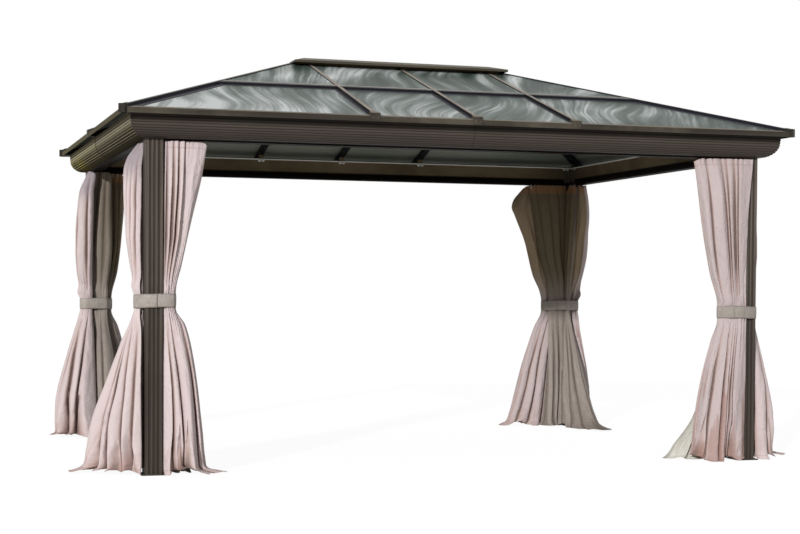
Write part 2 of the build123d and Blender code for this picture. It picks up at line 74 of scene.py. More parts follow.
rafterPlaces = [rafterLow.x + roof["stripHalf"], 0.0, rafterHigh.x - roof["stripHalf"]]


def sideOf(angle, long):
    # one side: how it is turned from the front, and how far out its slope and posts lie
    return {
        "turn": Matrix.Rotation(angle, 3, "Z"),
        "long": long,
        "top": 0.0 if long else ridgeHalf,
        "edge": eaveY if long else eaveX,
        "line": purlinY if long else purlinX,
        "post": halfY if long else halfX,
        "postAcross": halfX if long else halfY,
        "rafters": rafterPlaces if long else [0.0],
    }


sides = {
    "front": sideOf(0.0, True),
    "right": sideOf(math.pi / 2, False),
    "rear": sideOf(math.pi, True),
    "left": sideOf(-math.pi / 2, False),
}


# A node tree being wired, and its sockets as numbers that can stand in sums

class Wire:
    def __init__(self, board, socket):
        self.board = board
        self.socket = socket

    def maths(self, operation, *others, swapped=False):
        values = [self, *others]
        if swapped:
            values.reverse()
        return self.board.node("ShaderNodeMath", {"operation": operation}, dict(enumerate(values)))

    def __add__(self, other):
        return self.maths("ADD", other)

    def __radd__(self, other):
        return self.maths("ADD", other)

    def __sub__(self, other):
        return self.maths("SUBTRACT", other)

    def __rsub__(self, other):
        return self.maths("SUBTRACT", other, swapped=True)

    def __mul__(self, other):
        return self.maths("MULTIPLY", other)

    def __rmul__(self, other):
        return self.maths("MULTIPLY", other)

    def __truediv__(self, other):
        return self.maths("DIVIDE", other)

    def __abs__(self):
        return self.maths("ABSOLUTE")

    def __mod__(self, other):
        return self.maths("FLOORED_MODULO", other)


def opaque(shade):
    return (*shade, 1.0)


class Board:
    def __init__(self, tree):
        self.tree = tree

    def node(self, kind, settings=None, sockets=None, output=0):
        made = self.tree.nodes.new(kind)
        for key, value in (settings or {}).items():
            if key == "stops":
                self.setStops(made.color_ramp, value)
            else:
                setattr(made, key, value)
        for key, value in (sockets or {}).items():
            if isinstance(value, Wire):
                self.tree.links.new(value.socket, made.inputs[key])
            else:
                made.inputs[key].default_value = value
        return Wire(self, made.outputs[output])

    def setStops(self, ramp, stops):
        while len(ramp.elements) < len(stops):
            ramp.elements.new(1.0)
        for element, (place, shade) in zip(ramp.elements, stops):
            element.position = place
            element.color = opaque(shade)

    def split(self, vector):
        parts = self.node("ShaderNodeSeparateXYZ", None, {0: vector})
        outputs = parts.socket.node.outputs
        return [Wire(self, outputs[axis]) for axis in range(3)]

    def join(self, x, y, z):
        return self.node("ShaderNodeCombineXYZ", None, {0: x, 1: y, 2: z})

    def vector(self, operation, *vectors):
        return self.node("ShaderNodeVectorMath", {"operation": operation}, dict(enumerate(vectors)))

    def step(self, value, low, high):
        # 0 below low, 1 above high, smooth between
        return self.node(
            "ShaderNodeMapRange", {"interpolation_type": "SMOOTHSTEP"},
            {"Value": value, "From Min": low, "From Max": high},
        )

    def blend(self, share, first, second):
        # two colours, each a socket or red, green and blue
        first, second = (tone if isinstance(tone, Wire) else opaque(tone) for tone in (first, second))
        return self.node(
            "ShaderNodeMix", {"data_type": "RGBA"}, {"Factor": share, 6: first, 7: second}, output=2
        )

    def noise(self, place, scale, detail=3.0, roughness=0.5, distortion=0.0):
        return self.node("ShaderNodeTexNoise", None, {
            "Vector": place, "Scale": scale, "Detail": detail,
            "Roughness": roughness, "Distortion": distortion,
        })


class Finish(Board):
    # a material with one principled shader
    def __init__(self, name):
        self.material = bpy.data.materials.new(name)
        self.material.use_nodes = True
        super().__init__(self.material.node_tree)
        self.tree.nodes.clear()
        self.output = self.tree.nodes.new("ShaderNodeOutputMaterial")
        self.place = self.node("ShaderNodeTexCoord", output=3)

    def uv(self):
        return self.node("ShaderNodeTexCoord", output=2)

    def facing(self):
        return self.node("ShaderNodeNewGeometry", output=1)

    def attribute(self, name):
        return self.node("ShaderNodeAttribute", {"attribute_name": name}, output=2)

    def bump(self, height, distance, strength=1.0):
        return self.node("ShaderNodeBump", None, {
            "Height": height, "Distance": distance, "Strength": strength,
        })

    def shader(self, sockets):
        return self.node("ShaderNodeBsdfPrincipled", None, sockets)

    def show(self, shader):
        self.tree.links.new(shader.socket, self.output.inputs["Surface"])
        return self.material


# Metal

bronze = {
    "post": {"paint": (0.108, 0.091, 0.077), "wornAndLit": (0.165, 0.142, 0.122), "deep": (0.024, 0.019, 0.015)},
    "cornice": {
        "paint": (0.048, 0.039, 0.033), "wornAndLit": (0.085, 0.071, 0.061), "deep": (0.010, 0.008, 0.006),
        "dustAndLight": (0.125, 0.105, 0.092),
    },
    "trim": {"paint": (0.042, 0.036, 0.028), "wornAndLit": (0.200, 0.175, 0.135), "deep": (0.014, 0.012, 0.010)},
    "cap": {"paint": (0.078, 0.069, 0.048), "wornAndLit": (0.135, 0.120, 0.090), "deep": (0.006, 0.005, 0.008)},
    "roughness": 0.46,
    "grain": 0.00012,  # metres of orange peel in the powder coat
    "reeds": 0.0275,  # metres from reed to reed on the posts
    "flutes": 0.018,  # and on the cornice, under an upright band this high
    "upright": 0.044,
}


def orangePeel(coat):
    return coat.bump(coat.noise(coat.place, 420.0, 2.0), bronze["grain"], 0.5)


def postGrooves(coat, base, deep):
    # painted shade in the grooves between the reeds, and a darker foot
    x, y, z = coat.split(coat.place)
    nx, ny, _ = coat.split(coat.facing())
    wide = abs((halfX - abs(x)) / bronze["reeds"] % 1.0 - 0.5)
    narrow = abs((halfY - abs(y)) / bronze["reeds"] % 1.0 - 0.5)
    lines = coat.step(abs(ny), 0.5, 0.8) * wide + coat.step(abs(nx), 0.5, 0.8) * narrow
    base = coat.blend(coat.step(lines, 0.30, 0.47) * 0.75, base, deep)
    return coat.blend((1.0 - coat.step(z, 0.6, 1.5)) * 0.52, base, deep)


def corniceGrooves(coat, base, tones):
    # painted shade on the upright band, which lies in the shade of the trim; dust and painted light on the
    # cove under it, and painted shade in its grooves
    z = coat.split(coat.place)[2]
    upright = bronze["upright"]
    coveTop = corniceHigh.z - upright
    cove = coveTop - corniceLow.z
    band = coat.step(z, coveTop - 0.006, coveTop + 0.006)
    base = coat.blend(band * 0.42, base, tones["deep"])
    base = coat.blend((1.0 - band) * 0.38, base, tones["dustAndLight"])
    along = ((coveTop - z) / cove).maths("ARCSINE") * cove + upright
    groove = abs((along / bronze["flutes"] + 0.05) % 1.0 - 0.5)
    return coat.blend(coat.step(groove, 0.30, 0.42) * 0.62, base, tones["deep"])


def bronzeCoat(name, part, dustAndLight, streaks):
    # powder coat with dust and painted sky light on what faces up, and painted shade on the lower flanks, on
    # faces turned askew and in the grooves
    coat = Finish(name)
    tones = bronze[part]
    cloud = coat.noise(coat.place, 1.7, 4.0, 0.6)
    streak = coat.noise(coat.vector("MULTIPLY", coat.place, streaks), 1.0, 3.0)
    nx, ny, up = coat.split(coat.facing())
    dustAndSkyLight = coat.step(up, 0.35, 0.95) * dustAndLight * (0.6 + cloud * 0.7)
    flankShade = coat.step(0.0 - up, 0.05, 0.6) * 0.7
    skewShade = coat.step(abs(nx) * abs(ny), 0.08, 0.30) * 0.75
    base = coat.blend(coat.step(streak, 0.38, 0.72) * 0.5, tones["paint"], tones["deep"])
    base = coat.blend(coat.step(cloud, 0.42, 0.66) * 0.25, base, tones["wornAndLit"])
    # painted shade on faces that look down and on faces turned askew
    base = coat.blend(flankShade.maths("MAXIMUM", skewShade), base, tones["deep"])
    # dust and painted sky light on what faces up
    base = coat.blend(dustAndSkyLight, base, tones["wornAndLit"])
    if part == "post":
        base = postGrooves(coat, base, tones["deep"])
    if part == "cornice":
        base = corniceGrooves(coat, base, tones)
    if part == "cap":
        # painted shade on the ridge cap's ends
        base = coat.blend(coat.step(abs(nx), 0.05, 0.15), base, tones["deep"])
    return coat.show(coat.shader({
        "Base Color": base,
        "Roughness": bronze["roughness"] + (cloud - 0.5) * 0.16 + dustAndSkyLight * 0.18,
        "Metallic": 0.05,
        "Specular IOR Level": 0.10,
        "Normal": orangePeel(coat),
    }))


olive = {
    "lawnReflection": (0.285, 0.258, 0.192),
    "line": (0.090, 0.078, 0.050),
    "cloud": (0.330, 0.295, 0.200),
    "farLength": (0.390, 0.355, 0.225),
    "trim": (0.030, 0.026, 0.014),
    "gap": (0.006, 0.005, 0.003),
    "glow": (0.52, 0.45, 0.13),
    "glowAlong": (0.95, 0.40),  # metres from the far corner, from no patch to all of it
    "glowOver": (0.100, 0.035),  # and over the foot of the cornice
    "under": (0.016, 0.013, 0.006),
    "joint": 0.05,  # where the two lengths of the cornice meet, and half the gap that shows
    "jointHalf": 0.012,
}


def sunnyCoat():
    # the end that takes the evening light: the bronze painted olive as a reflection of the sunlit lawn, with
    # a painted highlight near the far corner
    coat = Finish("bronzeOlive")
    low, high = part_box("cornice_left")
    cloud = coat.noise(coat.vector("MULTIPLY", coat.place, (2.0, 1.2, 4.0)), 1.6, 4.0, 0.6)
    x, y, z = coat.split(coat.place)
    up = coat.split(coat.facing())[2]
    lines = coat.noise(coat.join(x * 9.0, y * 0.6, z * 160.0), 1.0, 2.0)
    # a painted highlight near the far corner, over the cornice's foot
    glow = coat.step(y, *(high.y - along for along in olive["glowAlong"]))
    glow = glow * coat.step(0.0 - z, *(-low.z - over for over in olive["glowOver"]))
    glow = glow * coat.step(cloud, 0.28, 0.52)
    # painted shade of the reeds, as fine dark lines
    base = coat.blend(coat.step(lines, 0.40, 0.60) * 0.22, olive["lawnReflection"], olive["line"])
    base = coat.blend(coat.step(cloud, 0.45, 0.7) * 0.35, base, olive["cloud"])
    base = coat.blend(coat.step(y, olive["joint"], olive["joint"] + 0.002) * 0.45, base, olive["farLength"])
    base = coat.blend(coat.step(z, trimLow.z - 0.004, trimLow.z) * 0.72, base, olive["trim"])
    gap = coat.step(olive["jointHalf"] - abs(y - olive["joint"]), -0.001, 0.0)
    base = coat.blend(gap, base, olive["gap"])
    base = coat.blend(glow * 0.8, base, olive["glow"])
    # painted shade on what faces down
    base = coat.blend(coat.step(0.0 - up, 0.05, 0.5) * 0.85, base, olive["under"])
    return coat.show(coat.shader({
        "Base Color": base,
        "Roughness": 0.6 + (cloud - 0.5) * 0.2,
        "Metallic": 0.0,
        "Specular IOR Level": 0.0,
        "Normal": orangePeel(coat),
    }))


bars = {
    "rafter": {"crest": [(0.150, 0.125, 0.100), (0.290, 0.248, 0.205)], "flankShade": (0.008, 0.008, 0.011)},
    "purlin": {"crest": [(0.180, 0.160, 0.140), (0.330, 0.300, 0.270)], "flankShade": (0.008, 0.008, 0.011)},
    "hip": {"crest": [(0.085, 0.074, 0.064), (0.170, 0.148, 0.124)], "flankShade": (0.006, 0.006, 0.012)},
}


def barCoat(name, part):
    # glazing bars: pale crests, dust and painted light on their tops, and near black painted shade on the
    # strips and flanks beside them
    coat = Finish(name)
    cloud = coat.noise(coat.place, 2.3, 4.0, 0.6)
    x, y, z = coat.split(coat.place)
    rise = apexZ - eaveZ
    front = rise / eaveY * (eaveY - abs(y)) + eaveZ
    end = rise / (eaveX - ridgeHalf) * (eaveX - abs(x)) + eaveZ
    lift = z - front.maths("MINIMUM", end)
    up = coat.split(coat.facing())[2]
    top = coat.step(up, 0.55, 0.9) * coat.step(lift, 0.009, 0.012)
    if part == "purlin":
        # only the upper part of the purlin's cover takes the pale crest; the brow keeps the painted shade
        past = (abs(y) - purlinY).maths("MAXIMUM", abs(x) - purlinX)
        top = top * (1.0 - coat.step(past, -0.016, -0.010))
    crest = coat.blend(coat.step(cloud, 0.3, 0.7), *bars[part]["crest"])
    return coat.show(coat.shader({
        "Base Color": coat.blend(top, bars[part]["flankShade"], crest),
        "Roughness": 0.45 + (cloud - 0.5) * 0.2,
        "Metallic": 0.05,
        "Specular IOR Level": 0.12,
        "Normal": orangePeel(coat),
    }))


roomSide = {
    "dark": (0.100, 0.078, 0.050), "light": (0.178, 0.138, 0.088),
    "shadow": (0.008, 0.006, 0.005),  # at the foot of the beams, up to these heights over it
    "shadowFrom": 0.052, "shadowTo": 0.066,
}


def darkInside():
    # beams, rails and brackets as they are seen from the room
    coat = Finish("bronzeInside")
    z = coat.split(coat.place)[2]
    cloud = coat.noise(coat.place, 1.3, 4.0, 0.6)
    base = coat.blend(coat.step(cloud, 0.35, 0.65), roomSide["dark"], roomSide["light"])
    clear = coat.step(z, beamFoot + roomSide["shadowFrom"], beamFoot + roomSide["shadowTo"])
    return coat.show(coat.shader({
        "Base Color": coat.blend(clear, roomSide["shadow"], base),
        "Roughness": 0.5 + (cloud - 0.5) * 0.2,
        "Metallic": 0.0,
        "Specular IOR Level": 0.02,
        "Normal": orangePeel(coat),
    }))


def brightMetal(name, shade, roughness, metallic):
    metal = Finish(name)
    x, y, z = metal.split(metal.place)
    brushed = metal.noise(metal.join(x * 4.0, y * 4.0, z * 900.0), 1.0, 2.0)
    cloud = metal.noise(metal.place, 5.0, 3.0)
    base = metal.blend(metal.step(cloud, 0.35, 0.75) * 0.5, shade, [tone * 0.8 for tone in shade])
    return metal.show(metal.shader({
        "Base Color": base,
        "Roughness": roughness + (cloud - 0.5) * 0.2,
        "Metallic": metallic,
        "Normal": metal.bump(brushed, 0.0001, 0.4),
    }))


# near-black beads that stand in as painted shadow beside the bars and under the brows
def shadowBeadFinish():
    shadowBead = Finish("blackSeal")
    cloud = shadowBead.noise(shadowBead.place, 6.0, 3.0)
    grain = shadowBead.noise(shadowBead.place, 600.0, 2.0)
    return shadowBead.show(shadowBead.shader({
        "Base Color": shadowBead.blend(shadowBead.step(cloud, 0.4, 0.7), (0.009, 0.009, 0.014), (0.022, 0.022, 0.034)),
        "Roughness": 0.62 + cloud * 0.15,
        "Normal": shadowBead.bump(grain, 0.0002, 0.5),
    }))


# Roof sheets

sheets = {
    "stops": [
        (0.0, (0.030, 0.046, 0.038)), (0.26, (0.060, 0.082, 0.070)), (0.48, (0.120, 0.148, 0.134)),
        (0.70, (0.270, 0.300, 0.290)), (1.0, (0.560, 0.590, 0.590)),
    ],
    "rib": (0.05, 0.06, 0.06),
    "under": [(0.195, 0.220, 0.196), (0.265, 0.290, 0.255)],
    "streaks": 7.0,  # across the slope, to the metre
    "sway": 0.96,  # metres the streaks wander sideways
    "ribs": 100.0,  # to the metre
    # how much paler the left slope is painted, as painted reflection
    "leftPaler": 0.12,
    # how much paler the front slope is painted, as painted reflection, at its left end, at the left end's
    # foot, at its right end, in its upper tier, and at the left end of that
    "hip": 0.14, "hipFoot": 0.30, "far": -0.12, "crown": 0.13, "hipCrown": -0.45,
}


def smokedSheet(name, side):
    # smoke-grey polycarbonate, with pale streaks of painted reflection that swirl down the slope, and fine
    # ribs inside
    sheet = Finish(name)
    long = sides[side]["long"]
    x, y, _ = sheet.split(sheet.place)
    along, down = (x, y) if long else (y, x)
    drift = sheet.noise(sheet.place, 0.8, 0.0) - 0.5
    curl = sheet.noise(sheet.place, 1.9, 1.0, 0.4) - 0.5
    ripple = sheet.noise(sheet.place, 9.0, 1.0, 0.5) - 0.5
    lean = down * (0.42 + along * 0.20)
    across = along - lean + drift * sheets["sway"] + curl * 0.10 + ripple * 0.012
    bands = sheet.noise(sheet.join(across * sheets["streaks"], down * 0.7, 1.0), 1.0, 3.0, 0.5)
    thin = sheet.noise(sheet.join(across * 30.0, down * 1.3, 2.0), 1.0, 2.0)
    broad = sheet.noise(sheet.join(across * 1.6, down * 1.1, 8.0), 1.0, 2.0)
    speckle = sheet.noise(sheet.place, 70.0, 2.0)
    # painted highlight along the foot of each slope
    foot = sheet.step(abs(down), *((1.0, 1.6) if long else (1.6, 2.2)))
    contrast = 1.8
    reflectedSky = 0.42 + (thin - 0.5) * (0.35 + sheet.step(broad, 0.4, 0.7)) + (broad - 0.5) * 1.7
    reflectedSky = reflectedSky + (speckle - 0.5) * 0.3 + foot * 0.05
    if side == "left":
        reflectedSky = reflectedSky + sheets["leftPaler"]
    if side == "front":
        hip = sheet.step(0.0 - along, 0.0, 2.0)
        far = sheet.step(along, 0.6, 1.2)
        crown = 1.0 - sheet.step(abs(down), 0.5, 0.9)
        contrast = contrast + crown * 0.9 - crown * hip * 0.8
        reflectedSky = reflectedSky + hip * sheets["hip"] + foot * hip * sheets["hipFoot"] + far * sheets["far"]
        reflectedSky = reflectedSky + crown * sheets["crown"] + crown * hip * sheets["hipCrown"]
    reflectedSky = reflectedSky + (bands - 0.5) * contrast
    ribs = abs((along * sheets["ribs"]) % 1.0 - 0.5) * 2.0
    base = sheet.node("ShaderNodeValToRGB", {"stops": sheets["stops"]}, {0: reflectedSky})
    base = sheet.blend(sheet.step(ribs, 0.8, 1.0) * 0.08, base, sheets["rib"])
    # the undersides are painted lighter, as the light that comes through the sheets
    below = sheet.step(0.0 - sheet.split(sheet.facing())[2], -0.1, 0.3)
    under = sheet.blend(sheet.step(drift, -0.12, 0.12), *sheets["under"])
    return sheet.show(sheet.shader({
        "Base Color": sheet.blend(below, base, under),
        "Roughness": 0.34 + below * 0.2,
        "Alpha": 0.96,
        "Specular IOR Level": 0.04,
        "Normal": sheet.bump(ribs * 0.3 + bands * 2.0, 0.0006, 0.5),
    }))


# Cloth

linen = {
    "cloth": (0.640, 0.545, 0.552),
    "faded": (0.740, 0.655, 0.662),
    "rightShade": (0.390, 0.325, 0.330),  # towards the right
    "creaseShade": (0.460, 0.312, 0.282),  # in shallow creases, and next the tone in deep ones
    "fold": (0.105, 0.062, 0.054),
    "dust": (0.52, 0.44, 0.40),
    "lining": (0.335, 0.250, 0.140),
    "heading": (0.42, 0.22, 0.11),
    "eave": (0.215, 0.190, 0.235),  # cool shade at the top of the left side
    "footPatches": (0.38, 0.235, 0.195),
    "stain": (0.33, 0.180, 0.145),  # at the foot of the right front bundle
    "stitch": (0.42, 0.30, 0.27),
    "light": (0.62, 0.42, 0.33),  # what shines through
    "thread": 0.0011,  # metres from thread to thread
}


def threads(u, v, pitch):
    return [abs((along * (1.0 / pitch)) % 2.0 - 1.0) for along in (u, v)]


def weave(u, v, pitch):
    # over and under of a plain weave, as a height
    warp, weft = threads(u, v, pitch)
    return warp * weft + (1.0 - warp) * (1.0 - weft)


def linenTone(cloth, u, v, pucker):
    # the colour of the cloth, from its weave and folds and from where it hangs, with painted shade in its
    # creases, on its inner faces and towards the right, and painted light at the heading
    x, y, z = cloth.split(cloth.place)
    crease = cloth.attribute("crease")
    slub = cloth.noise(cloth.join(u * 900.0, v * 25.0, 0.0), 1.0, 3.0)
    slubs = cloth.noise(cloth.join(u * 30.0, v * 900.0, 3.0), 1.0, 3.0)
    fade = cloth.noise(cloth.join(u * 5.0, v * 1.1, 5.0), 1.0, 4.0, 0.6)
    outer = cloth.step(x, halfX - 0.01, halfX + 0.03)
    # painted shade towards the right
    rightShade = cloth.step(x + y * 0.8, -2.4, 1.2) * (1.0 - outer * 0.6)
    base = cloth.blend(cloth.step(fade, 0.35, 0.7) * 0.5, linen["cloth"], linen["faded"])
    base = cloth.blend(rightShade * 0.55, base, linen["rightShade"])
    # painted shade in the creases, rosy in shallow ones and dark in deep ones
    base = cloth.blend(cloth.step(crease, 0.10, 0.6) * 0.66, base, linen["creaseShade"])
    base = cloth.blend(cloth.step(crease, 0.40, 0.90) * 0.82, base, linen["fold"])
    base = cloth.blend(cloth.step(slub + slubs, 0.9, 1.3) * 0.16, base, linen["dust"])
    # painted shade on the inner faces over the tie
    base = cloth.blend(cloth.attribute("inside") * 0.82, base, linen["lining"])
    # painted shade and painted glow of light through the doubled cloth at the heading
    base = cloth.blend(cloth.attribute("heading") * 0.75, base, linen["heading"])
    eave = cloth.step(z, 1.76, 1.98) * cloth.step(0.0 - x, halfX - 0.20, halfX - 0.03)
    base = cloth.blend(eave * (0.22 + pucker * 0.80), base, linen["eave"])
    # darker in patches near the hem
    footPatches = cloth.step(cloth.attribute("foot"), 0.0, 1.0) * cloth.step(pucker, 0.4, 0.62)
    base = cloth.blend(footPatches * 0.5, base, linen["footPatches"])
    rag = cloth.noise(cloth.join(u * 24.0, v * 1.3, 4.0), 1.0, 2.0, 0.5)
    stain = cloth.step(rag * 2.6 - 1.1 - z, 0.0, 0.12) * cloth.step(x, 0.0, 1.0) * (1.0 - outer)
    return cloth.blend(stain * cloth.step(0.0 - y, 0.0, 0.5) * 0.52, base, linen["stain"])


def curtainCloth():
    cloth = Finish("roseCloth")
    u, v, _ = cloth.split(cloth.uv())
    edge = cloth.attribute("edge")
    pucker = cloth.noise(cloth.join(u * 26.0, v * 10.0, 7.0), 1.0, 4.0, 0.65, 0.6)
    stitched = cloth.step(edge, 0.35, 0.5) * (1.0 - cloth.step(edge, 0.5, 0.65))
    creased = cloth.noise(cloth.join(u * 13.0, v * 6.0, 2.0), 1.0, 3.0, 0.6, 0.5)
    ridged = 1.0 - abs(creased - 0.5) * 4.0
    height = weave(u, v, linen["thread"]) * 0.06 + pucker * 1.5 + ridged * 1.3
    body = cloth.shader({
        "Base Color": cloth.blend(stitched * 0.45, linenTone(cloth, u, v, pucker), linen["stitch"]),
        "Roughness": 0.82,
        "Specular IOR Level": 0.25,
        "Sheen Weight": 0.15,
        "Normal": cloth.bump(height + cloth.step(edge, 0.3, 0.6) * 0.5, 0.0042, 0.9),
    })
    lit = cloth.node("ShaderNodeBsdfTranslucent", None, {"Color": opaque(linen["light"])})
    return cloth.show(cloth.node("ShaderNodeMixShader", None, {0: 0.12, 1: body, 2: lit}))


mesh = {
    "grey": [(0.250, 0.213, 0.190), (0.33, 0.292, 0.266)],
    "sunlit": [(0.520, 0.510, 0.450), (0.700, 0.690, 0.640)],
    "dark": (0.110, 0.085, 0.068),
    "lining": (0.125, 0.094, 0.046),
    "highLeftShade": (0.140, 0.115, 0.078),  # high on the left
    "heading": (0.30, 0.155, 0.080),
    "thread": 0.0026,
    "cover": 0.94,  # how much of the view a single layer stops
}


def netCloth(name, tones):
    cloth = Finish(name)
    u, v, _ = cloth.split(cloth.uv())
    x, _, z = cloth.split(cloth.place)
    warp, weft = threads(u, v, mesh["thread"])
    hole = cloth.step(warp, 0.35, 0.75) * cloth.step(weft, 0.35, 0.75)
    slub = cloth.noise(cloth.join(u * 420.0, v * 14.0, 0.0), 1.0, 3.0)
    slubs = cloth.noise(cloth.join(u * 12.0, v * 420.0, 2.0), 1.0, 3.0)
    fade = cloth.noise(cloth.join(u * 6.0, v * 1.4, 5.0), 1.0, 4.0, 0.6)
    high = cloth.step(z, 0.95, 1.5) * cloth.step(0.0 - x, 0.0, 1.0)
    base = cloth.blend(cloth.step(slub + slubs, 0.85, 1.2), *tones)
    # painted shade in the net's creases
    base = cloth.blend(cloth.step(cloth.attribute("crease"), 0.05, 0.9) * 0.8, base, mesh["dark"])
    # painted shade on the inner faces over the tie
    base = cloth.blend(cloth.attribute("inside") * 0.8, base, mesh["lining"])
    base = cloth.blend(cloth.step(fade, 0.4, 0.7) * 0.35, base, mesh["dark"])
    # painted shade high on the left
    base = cloth.blend(high * 0.52, base, mesh["highLeftShade"])
    # painted shade and painted glow of light through the doubled cloth at the heading
    base = cloth.blend(cloth.attribute("heading") * 0.75, base, mesh["heading"])
    solid = cloth.step(cloth.attribute("edge"), 0.35, 0.6)
    return cloth.show(cloth.shader({
        "Base Color": base,
        "Roughness": 0.85,
        "Specular IOR Level": 0.2,
        "Alpha": 1.0 - hole * (1.0 - mesh["cover"]) * (1.0 - solid),
        "Normal": cloth.bump(warp * weft * 0.3 + slub + slubs, 0.0012, 0.7),
    }))


webbing = {
    "thread": [(0.235, 0.205, 0.185), (0.44, 0.405, 0.375)],
    "slub": (0.50, 0.465, 0.435),
    "cloud": (0.22, 0.19, 0.17),
    "rightShade": (0.20, 0.172, 0.158),  # towards the right
    "rim": (0.17, 0.145, 0.13),
    "pitch": 0.0016,  # metres from thread to thread
}


def bandCloth():
    cloth = Finish("greyWebbing")
    u, v, _ = cloth.split(cloth.uv())
    x = cloth.split(cloth.place)[0]
    slub = cloth.noise(cloth.join(u * 700.0, v * 20.0, 0.0), 1.0, 3.0)
    slubs = cloth.noise(cloth.join(u * 9.0, v * 520.0, 2.0), 1.0, 3.0)
    cloud = cloth.noise(cloth.join(u * 22.0, v * 22.0, 1.0), 1.0, 4.0, 0.6)
    base = cloth.blend(cloth.step(slub, 0.36, 0.66), *webbing["thread"])
    base = cloth.blend(cloth.step(slubs, 0.4, 0.7) * 0.45, base, webbing["slub"])
    base = cloth.blend(cloth.step(cloud, 0.45, 0.7) * 0.35, base, webbing["cloud"])
    # painted shade towards the right
    base = cloth.blend(cloth.step(x, -1.0, 1.5) * 0.3, base, webbing["rightShade"])
    height = weave(u, v, webbing["pitch"]) * 0.4 + slub + slubs * 0.6
    return cloth.show(cloth.shader({
        "Base Color": cloth.blend(cloth.step(cloth.attribute("edge"), 0.4, 0.7) * 0.4, base, webbing["rim"]),
        "Roughness": 0.88,
        "Specular IOR Level": 0.2,
        "Sheen Weight": 0.1,
        "Normal": cloth.bump(height, 0.0010, 0.8),
    }))


def platedPart(name, shade, other, roughness, metallic):
    # small plated parts, with a little mottling
    part = Finish(name)
    cloud = part.noise(part.place, 38.0, 3.0)
    grain = part.noise(part.place, 700.0, 2.0)
    return part.show(part.shader({
        "Base Color": part.blend(part.step(cloud, 0.35, 0.7), shade, other),
        "Roughness": roughness + (cloud - 0.5) * 0.2,
        "Metallic": metallic,
        "Normal": part.bump(grain, 0.0001, 0.4),
    }))


finishes = {
    "coat": bronzeCoat("bronzeCoat", "post", 0.6, (60.0, 60.0, 1.6)),
    "cornice": bronzeCoat("bronzeCornice", "cornice", 0.5, (1.2, 1.2, 70.0)),
    "trim": bronzeCoat("bronzeTrim", "trim", 0.8, (1.2, 1.2, 40.0)),
    "cap": bronzeCoat("bronzeCap", "cap", 0.5, (1.2, 60.0, 40.0)),
    "olive": sunnyCoat(),
    "bars": barCoat("bronzeBars", "rafter"),
    "purlins": barCoat("bronzePurlins", "purlin"),
    "hips": barCoat("bronzeHips", "hip"),
    "inside": darkInside(),
    # the aluminium ledge is painted near white, as the light that catches it
    "ledge": brightMetal("millAluminium", (0.95, 0.95, 0.93), 0.4, 0.15),
    "shadowBead": shadowBeadFinish(),
    "curtain": curtainCloth(),
    "net": netCloth("greyNet", mesh["grey"]),
    # a lighter copy of the net, painted as if in sunlight, for the front right corner
    "paleNet": netCloth("paleNet", mesh["sunlit"]),
    "band": bandCloth(),
    "screw": platedPart("bronzeScrew", (0.075, 0.062, 0.052), (0.15, 0.13, 0.11), 0.4, 0.4),
    "bolt": platedPart("zincBolt", (0.62, 0.61, 0.58), (0.36, 0.35, 0.33), 0.35, 0.9),
}
for side in sides:
    finishes["sheet_" + side] = smokedSheet("smokedSheet_" + side, side)


def dressNodes():
    wear = {
        "post_": "coat", "foot_plates": "coat", "beams": "inside", "curtain_rails": "inside",
        "beam_ledges": "ledge", "cornice_": "cornice", "cornice_left": "olive", "drip_trim_": "trim",
        "drip_trim_left": "olive", "hip_rafter_": "hips", "rafters_": "bars", "purlins": "purlins",
        "ridge_beam": "inside", "ridge_cap": "cap", "bar_end_caps": "trim", "rafter_brackets": "inside",
    }
    for side in sides:
        wear["roof_panels_" + side] = "sheet_" + side
    for name, piece in cadNodes.items():
        keys = [key for key in wear if name.startswith(key)]
        if keys:
            piece.data.materials.clear()
            piece.data.materials.append(finishes[wear[max(keys, key=len)]])


dressNodes()
print("finishes on the CAD nodes")


def onSlope(side, along, out, lift=0.0):
    # a point of a slope, seen as if its side were the front: along it, and out from the middle
    slope = sides[side]
    rise = (slope["edge"] - out) / (slope["edge"] - slope["top"]) * (apexZ - eaveZ)
    return slope["turn"] @ Vector((along, -out, eaveZ + rise + lift))


def slopeFacing(side):
    slope = sides[side]
    tilt = math.atan2(apexZ - eaveZ, slope["edge"] - slope["top"])
    return slope["turn"] @ Vector((0.0, -math.sin(tilt), math.cos(tilt)))


def hipAlong(side, out):
    # how far along its slope a hip lies, this far out from the middle
    if sides[side]["long"]:
        return ridgeHalf + (eaveX - ridgeHalf) * out / eaveY
    return eaveY * (out - ridgeHalf) / (eaveX - ridgeHalf)


# Repeated small parts

def guideMesh(name, lines):
    # each line is (start, end, facing)
    guide = bpy.data.meshes.new(name)
    points = [point for start, end, _ in lines for point in (start, end)]
    edges = [(2 * line, 2 * line + 1) for line in range(len(lines))]
    guide.from_pydata([tuple(point) for point in points], edges, [])
    facing = guide.attributes.new("facing", "FLOAT_VECTOR", "POINT")
    facing.data.foreach_set("vector", [c for _, _, way in lines for _ in (0, 1) for c in way])
    piece = bpy.data.objects.new(name, guide)
    sceneNow.collection.objects.link(piece)
    return piece


